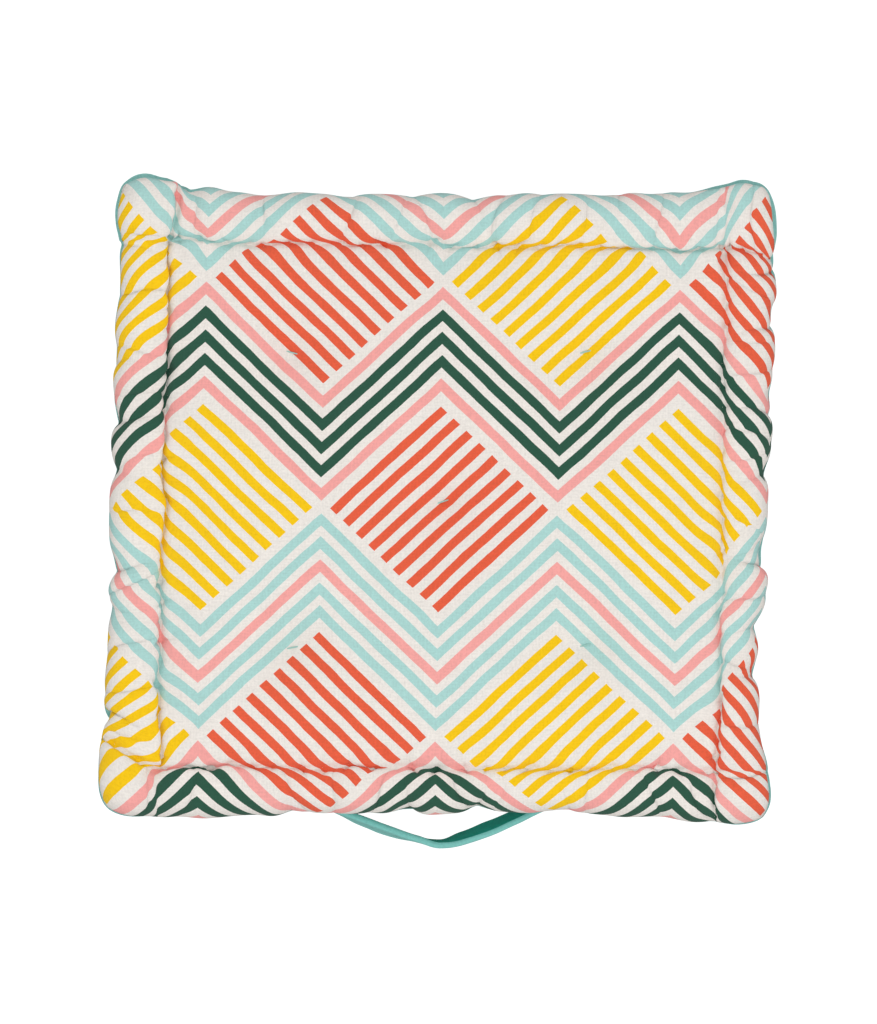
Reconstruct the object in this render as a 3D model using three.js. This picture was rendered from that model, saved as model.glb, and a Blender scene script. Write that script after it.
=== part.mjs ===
import * as THREE from 'three';

// Square box pad for a chair: printed cotton top, plain sides and back, rolled edges held by
// through-stitching, five tufts and a carry strap of the side cloth.
// Millimetres, +Z up. The pad lies on its back face and the strap is at the front, -Y.
// The origin is on the underside, at the middle of the box round the pad and its strap.
// Places in the tables are from the middle of the pad itself.

// Heights above the surface that the pad lies on
const ROLL_HALF = 15;       // half the height of a rolled edge
const UPPER_SEAM = 65;      // seam round the upper roll, at its widest
const LOWER_SEAM = 15;      // seam round the lower roll
const CROWN_RISE = 4;       // middle of the top above the crest of the roll
const FLOOR_PRESS = 2;      // depth to which the lower roll is pressed flat
const FLAT_BELOW = 0.05;    // what is lower than this lies on the floor
const BACK_GROOVE = 0.6;    // depth of the lower stitch lines, as a share of the roll

// Sizes in plan
const ROLL_WIDE = 31;       // stitch line to outline, where the side table gives no more
const PILLOW_EDGE = 17;     // width over which the filling rises inside a stitch line
const LINE_END = 9;         // length over which a stitch line fades past its last stitch
const CORNER_CUT = 0.16;    // share of a roll's width taken off at a corner of the outline
const CORNER_TURN = 5;      // how late along the roll that cut sets in
const ROLL_SQUARE = 0.8;    // below 1 the roll rises more steeply from its stitch line
const CROWN_SQUARE = 4;     // higher is a flatter crown with a steeper rim
const CREASE_BITE = 0.075;  // fullness lost for each millimetre of a crease's depth
const CREASE_MOST = 0.6;    // the most fullness that creases take
const WALL_INSET = 9.5;     // plain side wall behind the outline

// Tufts
const TUFT_REACH = 88;
const TUFT_DEEP = 9;
const TUFT_WIDE = 24;
const TUFT_PIT_DEEP = 4;
const TUFT_PIT_WIDE = 8;
const BACK_TUFT_DEEP = 6;
const BACK_TUFT_WIDE = 16;

// The strap bows out at the front, so the pad stands this far behind the middle of the whole
const PAD_SET_BACK = 6.8;

// Strap
const STRAP_HIGH = 18;
const STRAP_THICK = 3.2;
const STRAP_EDGE = 2.2;     // rounded edge of the fold
const STRAP_NOSE = 0.8;     // its blunt outer part
const STRAP_NOSE_THICK = 0.75;
const STRAP_SEAT = 0.3;     // gap between the strap's ends and the side wall
const STRAP_END = 99;       // half the length over the two sewn ends
const STRAP_LEAVES = 77;    // where the strap parts from the wall
const STRAP_HEIGHT = 40;    // middle of the strap, halfway up the side

// Divisions of the surface
const ROLL_STEPS = 6;
const NEAR_STITCH = [3, 8, 15, 25];   // lines at these distances inside each stitch line
const MIDDLE_STEPS = 22;
const STRAP_STEPS = 44;
const SEWN_ROWS = 4;

// The four corners of the stitched field, where the rolls meet
const FIELD = {
  frontLeft: new THREE.Vector2(-168, -160),
  frontRight: new THREE.Vector2(168, -162),
  backLeft: new THREE.Vector2(-162, 155),
  backRight: new THREE.Vector2(172, 150),
};
const FIELD_SPAN = 325;

// Columns: along the side, distance of the outline from the origin
const OUTLINE = {
  left: [
    [-180, 204.6], [-134, 201.6], [-98, 199], [-10, 198.6],
    [35, 197.4], [88, 195.8], [134, 192.4], [176, 195.4],
  ],
  right: [
    [-182, 201], [-135, 193.6], [-90, 194.6], [-48, 198.4],
    [-8, 198], [35, 201.6], [118, 204.4], [174, 203.6],
  ],
  front: [
    [-190, 191], [-145, 191.4], [-66, 189.4], [4, 189.6],
    [70, 188], [125, 191.2], [162, 193.6], [184, 196],
  ],
  back: [
    [-182, 196.2], [-166, 193.8], [-146, 189], [-120, 184.4],
    [20, 184], [150, 185.2], [172, 189.8], [190, 192.6],
  ],
};

// Creases that the stitching draws across the rolls.
// Columns: side, place along it, depth at the outline, width, lean along the side
const CREASES = [
  ['left', 155, 2.5, 8, 6],
  ['left', 94, 2, 8, -8],
  ['left', 56, 4, 9, -6],
  ['left', 15, 2, 8, 6],
  ['left', -34, 4, 9, -8],
  ['left', -70, 2, 8, 6],
  ['left', -145, 4, 8, 10],
  ['right', 147, 4.5, 7, 4],
  ['right', 108, 4, 9, 8],
  ['right', 66, 4, 9, -6],
  ['right', 16, 2.5, 8, 6],
  ['right', -27, 5, 9, -8],
  ['right', -79, 3, 8, 6],
  ['right', -100, 3, 8, -5],
  ['front', -90, 1.5, 9, 6],
  ['front', -23, 2.5, 9, 8],
  ['front', 31, 3, 9, -8],
  ['front', 70, 1.5, 8, 6],
  ['back', -148, 2, 8, -5],
  ['back', -60, 1.5, 9, 6],
  ['back', 24, 2, 9, -8],
  ['back', 96, 1.5, 9, 6],
];

// Each stitch line runs on through one corner to the outline and stops at the other.
// Columns: side, axis that it stands across, direction outwards, end that runs through
const STITCH_LINES = [
  ['left', 'x', -1, 1],
  ['back', 'y', 1, 1],
  ['right', 'x', 1, -1],
  ['front', 'y', -1, -1],
];

// Columns: distance in from the outline, height. From under the upper seam to above the lower
const SIDE_PROFILE = [
  [1.4, 59.5],
  [5, 54.4],
  [WALL_INSET + 1.5, 50.8],
  [WALL_INSET, 47],
  [WALL_INSET, 33],
  [WALL_INSET + 1.5, 29.2],
  [5, 25.6],
  [1.4, 20.5],
];

// Columns: x, distance out of the strap's middle, drop below its ends, lean of its upper edge outwards
const STRAP_ROUTE = [
  [-64, 186.2, 0, -4],
  [-45, 193.6, 0.5, -12],
  [-29, 199.6, 1.2, -14],
  [-13, 204.2, 1.9, -8],
  [1, 207.4, 2.2, 2],
  [15, 204.2, 2, 12],
  [32, 197.8, 1.4, 17],
  [47, 191.6, 0.7, 14],
  [64, 185.4, 0, 5],
];

const printedCotton = new THREE.MeshStandardMaterial({ color: 0xece4dc, roughness: 0.92, metalness: 0 });
const plainCotton = new THREE.MeshStandardMaterial({ color: 0x6fb8ae, roughness: 0.9, metalness: 0 });

const { lerp, degToRad } = THREE.MathUtils;

function bell(distance, width) {
  return Math.exp(-((distance / width) ** 2));
}

// A smooth curve through the rows of a table of [place, value]
function readTable(rows, place) {
  const last = rows.length - 1;
  if (place <= rows[0][0]) return rows[0][1];
  if (place >= rows[last][0]) return rows[last][1];
  const next = rows.findIndex(([at]) => at > place);
  const [fromAt, fromValue] = rows[next - 1];
  const [toAt, toValue] = rows[next];
  return lerp(fromValue, toValue, THREE.MathUtils.smoothstep(place, fromAt, toAt));
}

// Distance of the outline from the origin on one side. share fades the creases out.
function outlineAt(side, along, share) {
  let out = readTable(OUTLINE[side], along);
  for (const [where, at, deep, wide, lean] of CREASES) {
    if (where === side) out -= share * deep * bell(along - at - lean / 2, wide);
  }
  return out;
}

// How much of the roll's fullness the creases leave, t from the stitch line to the seam
function creaseShare(side, along, t) {
  let share = 1;
  for (const [where, at, deep, wide, lean] of CREASES) {
    const slide = lean * (t - 0.5);
    if (where === side) share -= CREASE_BITE * deep * bell(along - at - slide, wide);
  }
  return Math.max(share, 1 - CREASE_MOST);
}

// Lines across the pad: field is the share of the stitched field, roll runs from -1 at one
// seam to 1 at the other and is 0 inside the field.
function surfaceLines() {
  const near = NEAR_STITCH.map((distance) => distance / FIELD_SPAN);
  const inner = near[near.length - 1];
  const lines = [];
  for (let i = ROLL_STEPS; i >= 1; i -= 1) lines.push({ field: 0, roll: -i / ROLL_STEPS });
  lines.push({ field: 0, roll: 0 });
  for (const share of near) lines.push({ field: share, roll: 0 });
  for (let i = 1; i < MIDDLE_STEPS; i += 1) {
    lines.push({ field: lerp(inner, 1 - inner, i / MIDDLE_STEPS), roll: 0 });
  }
  for (const share of [...near].reverse()) lines.push({ field: 1 - share, roll: 0 });
  lines.push({ field: 1, roll: 0 });
  for (let i = 1; i <= ROLL_STEPS; i += 1) lines.push({ field: 1, roll: i / ROLL_STEPS });
  return lines;
}

// Share of the roll's width that lies inside t
function rollShare(t) {
  return (1 - Math.cos(Math.PI * Math.abs(t))) / 2;
}

function fieldPoint(u, v) {
  const front = FIELD.frontLeft.clone().lerp(FIELD.frontRight, u.field);
  const back = FIELD.backLeft.clone().lerp(FIELD.backRight, u.field);
  return front.lerp(back, v.field);
}

// Place in plan. inset draws the seam in from the outline, crease is the share of the creases.
function planPoint(u, v, inset = 0, crease = 1) {
  const point = fieldPoint(u, v);
  const across = rollShare(u.roll);
  const along = rollShare(v.roll);
  const xNear = point.x + Math.sign(u.roll) * across * ROLL_WIDE;
  const yNear = point.y + Math.sign(v.roll) * along * ROLL_WIDE;
  const xCrease = crease * across ** 2 * (1 - along);
  const yCrease = crease * along ** 2 * (1 - across);
  const xRoom = outlineAt(u.roll < 0 ? 'left' : 'right', yNear, xCrease) - Math.abs(point.x);
  const yRoom = outlineAt(v.roll < 0 ? 'front' : 'back', xNear, yCrease) - Math.abs(point.y);
  point.x += Math.sign(u.roll) * across * (xRoom * (1 - CORNER_CUT * along ** CORNER_TURN) - inset);
  point.y += Math.sign(v.roll) * along * (yRoom * (1 - CORNER_CUT * across ** CORNER_TURN) - inset);
  return point;
}

// How far the stitch lines let the cloth rise, 0 on a line
function stitchShare(u, v) {
  let share = 1;
  for (const [, axis, outwards, throughEnd] of STITCH_LINES) {
    const own = axis === 'x' ? u : v;
    const other = axis === 'x' ? v : u;
    const inside = (outwards < 0 ? own.field : 1 - own.field) * FIELD_SPAN;
    let rise = 1;
    if (own.roll * outwards > 0) {
      if (Math.abs(own.roll) < 0.5) rise = Math.sin(Math.PI * Math.abs(own.roll)) ** ROLL_SQUARE;
    } else if (inside < PILLOW_EDGE) {
      rise = Math.sqrt(1 - (1 - inside / PILLOW_EDGE) ** 2);
    }
    const beyond = other.roll * throughEnd < 0 ? rollShare(other.roll) * ROLL_WIDE : 0;
    share *= 1 - (1 - rise) * bell(beyond, LINE_END);
  }
  return share;
}

// Fall of the roll from its crest to the seam, for both directions
function rollFall(u, v) {
  const fall = (t) => (Math.abs(t) > 0.5 ? Math.sin(Math.PI * Math.abs(t)) : 1);
  return fall(u.roll) * fall(v.roll);
}

function creasesOver(u, v, point) {
  let share = 1;
  if (u.roll !== 0) share *= creaseShare(u.roll < 0 ? 'left' : 'right', point.y, Math.abs(u.roll));
  if (v.roll !== 0) share *= creaseShare(v.roll < 0 ? 'front' : 'back', point.x, Math.abs(v.roll));
  return share;
}

function tuftCentres() {
  const centres = [new THREE.Vector2(2, 0)];
  for (const x of [-TUFT_REACH, TUFT_REACH]) {
    for (const y of [-TUFT_REACH, TUFT_REACH]) centres.push(new THREE.Vector2(x, y));
  }
  return centres;
}

const TUFTS = tuftCentres();

function crownShare(field) {
  return 1 - (2 * field - 1) ** CROWN_SQUARE;
}

function topHeight(u, v, point) {
  const fullness = stitchShare(u, v) * rollFall(u, v) * creasesOver(u, v, point);
  const crown = crownShare(u.field) * crownShare(v.field);
  let height = UPPER_SEAM + ROLL_HALF * fullness + CROWN_RISE * crown;
  for (const tuft of TUFTS) {
    const distance = tuft.distanceTo(point);
    height -= TUFT_DEEP * bell(distance, TUFT_WIDE) + TUFT_PIT_DEEP * bell(distance, TUFT_PIT_WIDE);
  }
  return height;
}

function backHeight(u, v, point) {
  const grooveShare = 1 - BACK_GROOVE * (1 - stitchShare(u, v));
  const bulge = (LOWER_SEAM + FLOOR_PRESS) * grooveShare * rollFall(u, v);
  let height = Math.max(LOWER_SEAM - bulge, 0);
  for (const tuft of TUFTS) height += BACK_TUFT_DEEP * bell(tuft.distanceTo(point), BACK_TUFT_WIDE);
  return height < FLAT_BELOW ? 0 : height;
}

// The stations round the seam, anticlockwise from the front left corner
function seamStations(lines) {
  const last = lines.length - 1;
  const stations = [];
  for (let i = 0; i < last; i += 1) stations.push([i, 0]);
  for (let j = 0; j < last; j += 1) stations.push([last, j]);
  for (let i = last; i > 0; i -= 1) stations.push([i, last]);
  for (let j = last; j > 0; j -= 1) stations.push([0, j]);
  return stations;
}

function padGeometry() {
  const lines = surfaceLines();
  const count = lines.length;
  const stations = seamStations(lines);
  const positions = [];
  const index = [];
  const topAt = (i, j) => i * count + j;
  const backAt = (i, j) => count * count + topAt(i, j);
  const bandStart = 2 * count * count;

  for (const heightAt of [topHeight, backHeight]) {
    for (const u of lines) {
      for (const v of lines) {
        const point = planPoint(u, v);
        positions.push(point.x, point.y, heightAt(u, v, point));
      }
    }
  }
  for (const [inset, height] of SIDE_PROFILE) {
    for (const [i, j] of stations) {
      const point = planPoint(lines[i], lines[j], inset, Math.max(1 - inset / WALL_INSET, 0));
      positions.push(point.x, point.y, height);
    }
  }

  for (let i = 0; i < count - 1; i += 1) {
    for (let j = 0; j < count - 1; j += 1) {
      index.push(topAt(i, j), topAt(i + 1, j), topAt(i + 1, j + 1));
      index.push(topAt(i, j), topAt(i + 1, j + 1), topAt(i, j + 1));
      index.push(backAt(i, j), backAt(i + 1, j + 1), backAt(i + 1, j));
      index.push(backAt(i, j), backAt(i, j + 1), backAt(i + 1, j + 1));
    }
  }

  const bandAt = (ring, station) => {
    const wrapped = station % stations.length;
    if (ring < 0) return topAt(...stations[wrapped]);
    if (ring === SIDE_PROFILE.length) return backAt(...stations[wrapped]);
    return bandStart + ring * stations.length + wrapped;
  };
  for (let ring = -1; ring < SIDE_PROFILE.length; ring += 1) {
    for (let station = 0; station < stations.length; station += 1) {
      const upper = bandAt(ring, station);
      const upperNext = bandAt(ring, station + 1);
      const lower = bandAt(ring + 1, station);
      const lowerNext = bandAt(ring + 1, station + 1);
      index.push(upper, lower, lowerNext);
      index.push(upper, lowerNext, upperNext);
    }
  }

  const geometry = new THREE.BufferGeometry();
  geometry.setAttribute('position', new THREE.Float32BufferAttribute(positions, 3));
  geometry.setIndex(index);
  return geometry;
}

// Middle line of the strap: along the wall at each sewn end, and out in a bow between them
function strapRows() {
  const seat = WALL_INSET - STRAP_SEAT - STRAP_THICK / 2;
  const sewnLength = STRAP_END - STRAP_LEAVES;
  const sewn = (x) => [x, outlineAt('front', x, 0) - seat, 0, 0];
  const rows = [...STRAP_ROUTE];
  for (let i = 0; i <= SEWN_ROWS; i += 1) {
    const reach = STRAP_LEAVES + (sewnLength * i) / SEWN_ROWS;
    rows.unshift(sewn(-reach));
    rows.push(sewn(reach));
  }
  return rows;
}

// Section of the folded strap, height and thickness, with rounded edges
function strapSection() {
  const half = STRAP_HIGH / 2;
  const thick = STRAP_THICK / 2;
  const upper = [
    [half - STRAP_EDGE, thick],
    [half - STRAP_NOSE, thick * STRAP_NOSE_THICK],
    [half, 0],
    [half - STRAP_NOSE, -thick * STRAP_NOSE_THICK],
    [half - STRAP_EDGE, -thick],
  ];
  const lower = upper.map(([high, out]) => [-high, -out]);
  return [...upper, ...lower];
}

function strapGeometry() {
  const rows = strapRows();
  const route = new THREE.CatmullRomCurve3(
    rows.map(([x, out, drop]) => new THREE.Vector3(x, -out, STRAP_HEIGHT - drop)),
    false,
    'centripetal',
  );
  const leans = rows.map(([x, , , lean]) => [x, lean]);
  const section = strapSection();
  const positions = [];
  const index = [];

  for (let step = 0; step <= STRAP_STEPS; step += 1) {
    const centre = route.getPointAt(step / STRAP_STEPS);
    const tangent = route.getTangentAt(step / STRAP_STEPS).setZ(0).normalize();
    const outwards = new THREE.Vector3(tangent.y, -tangent.x, 0);
    const lean = degToRad(readTable(leans, centre.x));
    const upwards = new THREE.Vector3(0, 0, Math.cos(lean)).addScaledVector(outwards, Math.sin(lean));
    const face = new THREE.Vector3().crossVectors(tangent, upwards);
    for (const [high, thick] of section) {
      const point = centre.clone().addScaledVector(upwards, high).addScaledVector(face, thick);
      positions.push(point.x, point.y, point.z);
    }
  }

  const sides = section.length;
  for (let step = 0; step < STRAP_STEPS; step += 1) {
    for (let k = 0; k < sides; k += 1) {
      const next = (k + 1) % sides;
      const a = step * sides + k;
      const b = step * sides + next;
      index.push(a, a + sides, b + sides);
      index.push(a, b + sides, b);
    }
  }
  const endStart = STRAP_STEPS * sides;
  for (let k = 1; k < sides - 1; k += 1) {
    index.push(0, k, k + 1);
    index.push(endStart, endStart + k + 1, endStart + k);
  }

  const geometry = new THREE.BufferGeometry();
  geometry.setAttribute('position', new THREE.Float32BufferAttribute(positions, 3));
  geometry.setIndex(index);
  return geometry;
}

function namedMesh(name, geometry, material) {
  geometry.computeVertexNormals();
  const mesh = new THREE.Mesh(geometry, material);
  mesh.name = name;
  return mesh;
}

const pad = new THREE.Group();
pad.position.y = PAD_SET_BACK;
pad.add(namedMesh('pad', padGeometry(), printedCotton));
pad.add(namedMesh('handle', strapGeometry(), plainCotton));

const group = new THREE.Group();
group.add(pad);

export default group;
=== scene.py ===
"""Square box pad for a chair: printed cotton top, plain sides and back, rolled stitched edges,
five tufts and a carry strap. It lies on its back and is seen from straight above."""
import math

import bpy
import numpy as np
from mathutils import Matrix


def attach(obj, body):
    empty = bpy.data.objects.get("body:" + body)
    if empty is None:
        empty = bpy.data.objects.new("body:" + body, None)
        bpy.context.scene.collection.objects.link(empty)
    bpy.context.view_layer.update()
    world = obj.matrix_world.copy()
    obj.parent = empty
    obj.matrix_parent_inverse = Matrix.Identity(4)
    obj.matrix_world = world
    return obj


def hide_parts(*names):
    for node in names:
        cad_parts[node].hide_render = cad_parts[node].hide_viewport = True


bl_info = {
    "name": "Rolled edge chair pad",
    "version": (1, 0, 0),
    "blender": (4, 5, 0),
    "location": "View3D > Sidebar > Chair pad",
    "description": "Makes the cover, stitches, tufts, strap and studio of a box chair pad",
    "category": "Add Mesh",
}

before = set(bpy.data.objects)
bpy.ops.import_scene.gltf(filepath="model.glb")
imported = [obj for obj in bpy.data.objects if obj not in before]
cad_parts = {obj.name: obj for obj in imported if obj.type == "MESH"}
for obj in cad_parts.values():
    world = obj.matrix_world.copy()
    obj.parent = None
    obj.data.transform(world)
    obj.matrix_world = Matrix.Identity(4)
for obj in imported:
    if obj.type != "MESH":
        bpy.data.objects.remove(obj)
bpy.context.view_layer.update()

MM = 0.001
PI = math.pi

# The pad's own middle stands this far behind the origin. Sizes from here on are in millimetres.
PAD_SET_BACK = 6.8

# Heights above the floor
ROLL_HALF = 15.0
UPPER_SEAM = 65.0
LOWER_SEAM = 15.0
CROWN_RISE = 4.0
FLOOR_PRESS = 2.0
BACK_GROOVE = 0.6

# Sizes and shapes in plan. CREASE_BITE is the share of fullness lost for each millimetre of a
# crease, and CREASE_MOST the most that all of them take.
ROLL_WIDE = 31.0
PILLOW_EDGE = 17.0
LINE_END = 9.0
CORNER_CUT = 0.16
CORNER_TURN = 5
ROLL_SQUARE = 0.8
CROWN_SQUARE = 4
CREASE_BITE = 0.075
CREASE_MOST = 0.6
WALL_INSET = 9.5

# Angle round the roll from its stitch line to the stitch line of the side wall
WALL_ANGLE = 1.41 * PI

# Tufts
TUFT_REACH = 88.0
TUFT_DEEP = 9.0
TUFT_WIDE = 24.0
TUFT_PIT_DEEP = 4.0
TUFT_PIT_WIDE = 8.0
BACK_TUFT_DEEP = 6.0
BACK_TUFT_WIDE = 16.0
TUFTS = [(2.0, 0.0)] + [(x, y) for x in (-TUFT_REACH, TUFT_REACH) for y in (-TUFT_REACH, TUFT_REACH)]

# The four corners of the stitched field
FIELD_SPAN = 325.0
FRONT_LEFT = (-168.0, -160.0)
FRONT_RIGHT = (168.0, -162.0)
BACK_LEFT = (-162.0, 155.0)
BACK_RIGHT = (172.0, 150.0)

# Columns: along the side, distance of the outline from the pad's middle
OUTLINE = {
    "left": [(-180, 204.6), (-134, 201.6), (-98, 199), (-10, 198.6),
             (35, 197.4), (88, 195.8), (134, 192.4), (176, 195.4)],
    "right": [(-182, 201), (-135, 193.6), (-90, 194.6), (-48, 198.4),
              (-8, 198), (35, 201.6), (118, 204.4), (174, 203.6)],
    "front": [(-190, 191), (-145, 191.4), (-66, 189.4), (4, 189.6),
              (70, 188), (125, 191.2), (162, 193.6), (184, 196)],
    "back": [(-182, 196.2), (-166, 193.8), (-146, 189), (-120, 184.4),
             (20, 184), (150, 185.2), (172, 189.8), (190, 192.6)],
}

# Columns: side, place along it, depth at the outline, width, lean along the side
CREASES = [
    ("left", 155, 2.5, 8, 6),
    ("left", 94, 2, 8, -8),
    ("left", 56, 4, 9, -6),
    ("left", 15, 2, 8, 6),
    ("left", -34, 4, 9, -8),
    ("left", -70, 2, 8, 6),
    ("left", -145, 4, 8, 10),
    ("right", 147, 4.5, 7, 4),
    ("right", 108, 4, 9, 8),
    ("right", 66, 4, 9, -6),
    ("right", 16, 2.5, 8, 6),
    ("right", -27, 5, 9, -8),
    ("right", -79, 3, 8, 6),
    ("right", -100, 3, 8, -5),
    ("front", -90, 1.5, 9, 6),
    ("front", -23, 2.5, 9, 8),
    ("front", 31, 3, 9, -8),
    ("front", 70, 1.5, 8, 6),
    ("back", -148, 2, 8, -5),
    ("back", -60, 1.5, 9, 6),
    ("back", 24, 2, 9, -8),
    ("back", 96, 1.5, 9, 6),
]

# How far the side cloth climbs over the roll, as a share of half a turn.
# Columns: along the side, share
SEAM_CLIMB = {
    "left": [(-200, 0.12), (-175, 0.08), (-140, 0.02), (95, 0.02), (118, 0.09), (135, 0.07),
             (150, 0.15), (195, 0.2)],
    "right": [(-200, 0.15), (-165, 0.15), (-140, 0.04), (130, 0.02), (150, 0.08), (168, 0.22),
              (195, 0.16)],
    "front": [(-205, 0.12), (-180, 0.04), (-150, 0.01), (150, 0.01), (180, 0.1), (205, 0.15)],
    "back": [(-200, 0.2), (-165, 0.18), (-145, 0.09), (-125, 0.02), (150, 0.02), (168, 0.16),
             (195, 0.16)],
}

# Each stitch line runs on through one corner to the outline and stops at the other.
# Columns: side, stands across x, direction outwards, end that runs through
STITCH_LINES = [
    ("left", True, -1, 1),
    ("back", False, 1, 1),
    ("right", True, 1, -1),
    ("front", False, -1, -1),
]

# Depth of each stitch line as a share of the roll's height
LINE_DEEP = {"left": 0.62, "back": 0.5, "right": 0.48, "front": 0.46}

# How much of that depth is lost where a line has run out through a corner
LINE_SHALLOWS = 0.35

# How far the walls of each groove are pressed together. Columns: along the side, share
CLOSURE = {
    "left": [(-200, 0.5), (-170, 0.8), (-110, 0.6), (-60, 0.35), (-30, 0.6), (20, 0.85),
             (70, 0.6), (100, 0.9), (200, 0.7)],
    "right": [(-200, 0.4), (-150, 0.6), (-100, 0.5), (-40, 0.3), (10, 0.25), (50, 0.05),
              (120, 0.05), (150, 0.5)],
    "front": [(-200, 0.4), (-160, 0.7), (-125, 0.6), (-90, 0.2), (-40, 0.35), (10, 0.15),
              (80, 0.3), (160, 0.2), (200, 0.5)],
    "back": [(-190, 0.25), (-160, 0.3), (-130, 0.25), (-60, 0.35), (0, 0.2), (50, 0.4),
             (85, 0.3), (105, 0.8), (200, 0.6)],
}

# How far each roll leans in over its stitch line
OVERHANG = {"left": 3.2, "back": 1.6, "right": 1.6, "front": 1.2}

# How far the stitch lines wander from straight, and the length of a bend
WANDER = ((1.1, 62.0), (0.7, 27.0))
WANDER_SEED = 61
WANDER_END = 0.5

# How far each stitch line has drifted along the next side where it runs out at the corner
LINE_DRIFT = {"left": 4.5, "back": -4.5, "right": -3.0, "front": 16.0}

# How far off a line its drift and its wander are felt: share of the roll, distance in the field
DRIFT_REACH = (0.6, 30.0)
WANDER_REACH = (0.3, 12.0)

# Short folds at the corners. Columns: start, end, depth, width
FOLDS = [
    ((172.0, 181.0), (174.5, 174.0), 3.0, 2.0),
    ((172.6, 141.0), (173.6, 138.0), 2.5, 3.0),
    ((-158.5, 186.0), (-156.5, 162.0), 2.4, 2.0),
    ((-174.0, -166.5), (-168.5, -163.0), 2.5, 2.4),
]

# Divisions of the cover. ROLL_SPACING crowds the lines of a roll towards its stitches.
ROLL_STEPS = 15
ROLL_SPACING = 1.12
NEAR_STEP = 1.9
MIDDLE_STEP = 3.1
NEAR_STEPS = 9
MIDDLE_STEPS = 92
UNDER_STEPS = 7
WALL_STEPS = 6

# How soon the side wall bows in to its full depth
WALL_BOW = 1.6

# Cloth in the panels
ROLL_CLOTH = 50.5
FIELD_CLOTH = 340.0
UNDER_CLOTH = 21.0
WALL_CLOTH = 22.0
SIDE_CLOTH = 2 * UNDER_CLOTH + WALL_CLOTH

# Cloth that each stitch line takes in on each side of it: how far off that is felt, how soon it
# sets in, the length of its ups and downs, and how much less it is beyond the corner
LINE_TAKES = {"left": 3.2, "back": 3.0, "right": 1.6, "front": 2.4}
LINE_TAKES_REACH = 9.0
LINE_TAKES_RISE = 2.6
LINE_TAKES_WAVE = 30.0
BEYOND_TAKES_LESS = 0.6

# Hand stitches and the gathers that they pull. Some gathers are stronger than the rest.
STITCH_SEED = 41
FIRST_STITCH = (2.0, 8.0)
STITCH_GAP = (9.0, 14.0)
PUCKER_DEEP = (0.9, 2.1)
PUCKER_REACH = (6.0, 12.0)
PUCKER_WIDE = (1.0, 2.0)
PUCKER_TAKES = (0.1, 0.8)
PUCKER_LEAN = 0.5
PUCKER_MIDDLE = 3.0
STRONG_SHARE = 0.25
STRONG_PUCKER = 1.7

# Lumps of the filling. Columns of UNEVEN: height, wave
LUMP_SEED = 17
UNEVEN = ((0.5, 38.0), (0.25, 17.0))
BACK_UNEVEN = 0.2
LUMP = 0.25
LUMP_WAVE = 45.0

# How firmly the cloth is held, from 0, free, to 1, sewn down
LINE_HOLD = 0.5
FOLD_HOLD = 0.5
WALL_HOLD = 0.4
WALL_SEAM_HOLD = 0.9
TUFT_HOLD_REACH = 4.0

# How hard the filling presses, as a share of its pressure in the rolls
FIELD_FILL = 0.2
BACK_FILL = 0.5
WALL_FILL = 0.1
UNDER_FILL = 0.7

# The cotton, in the terms of Blender's Cloth
COTTON = {
    "mass": 0.002, "air_damping": 2.0, "tension_stiffness": 15.0, "compression_stiffness": 15.0,
    "shear_stiffness": 4.0, "bending_stiffness": 0.01, "tension_damping": 5.0,
    "compression_damping": 5.0, "shear_damping": 5.0, "bending_damping": 0.5, "pin_stiffness": 1.0,
}

# Closed grooves: half the gap that stays between the walls and how soon it opens, the shares of
# the height up to which they touch and from which they are free, how far out they are moved, the
# rows of points moved and searched for the crest, and the height of the full overhang
CLOTH_GAP = 0.15
GAP_RISE = 5.0
GROOVE_SHUT = 0.62
GROOVE_OPEN = 1.05
GROOVE_REACH = 8.0
GROOVE_ROWS = 12
GROOVE_SEARCH = 8
OVERHANG_FULL = 0.75

# How much of a groove is shut where the grip of its line fades: steepness, and grip without any
GROOVE_FIRM = 2.0
GROOVE_SLACK = 0.3

# Sharp creases across the rolls, besides the rows of CREASES
CREASE_SEED = 23
CREASE_GAP = (22.0, 46.0)
CREASE_DEEP = (0.9, 2.6)
CREASE_WIDE = (1.6, 3.2)
CREASE_REACH = (14.0, 30.0)
CREASE_TAKES = (0.9, 2.8)
CREASE_LEAN = 0.4
CREASE_MIDDLE = 30.0
CREASES_DRAWN = 40

# The sharp core in each row of CREASES: share of its depth, width, middle and reach from the line
CORE_DEEP = 0.8
CORE_WIDE = 2.0
CORE_MIDDLE = 46.0
CORE_REACH = 24.0

# Cloth that such a core takes in, as a share of its depth: beyond this place along the side, and
# elsewhere
CORNER_NEAR = 138.0
CORNER_TAKES = 0.2
MIDDLE_TAKES = 0.5

# Gathers: length looked at on each side of one, how soon its pull fades, how far from the stitches
# it sets in, and the distance given where there is none
GATHER_SPAN = 40.0
GATHER_TAIL = 3.0
GATHER_START = 2.5
FAR = 20.0

# How far a gather snakes and over what length, how it widens, and how weak it is in the field
SNAKE = 0.8
SNAKE_LENGTH = 6.0
WIDENING = 0.02
FIELD_WEAKER = 0.6

# How the gathers fade: over the last stretch of the end that runs through and to what share, past
# the end that stops, beyond the corner, and from the end that stops on
END_FADE = 6.0
END_GRIP = 0.3
PAST_FADE = 14.0
BEYOND_FADE = 20.0
START_FADE = 16.0

# Gathers reach this far into the field, and those of the lower roll are weaker
FIELD_REACH = 26.0
LOWER_SEED = 10
LOWER_STRENGTH = 0.85
NEAR_ZERO = 0.01


def bell(distance, width):
    return np.exp(-((distance / width) ** 2))


def mix(first, second, share):
    return first + (second - first) * share


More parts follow.
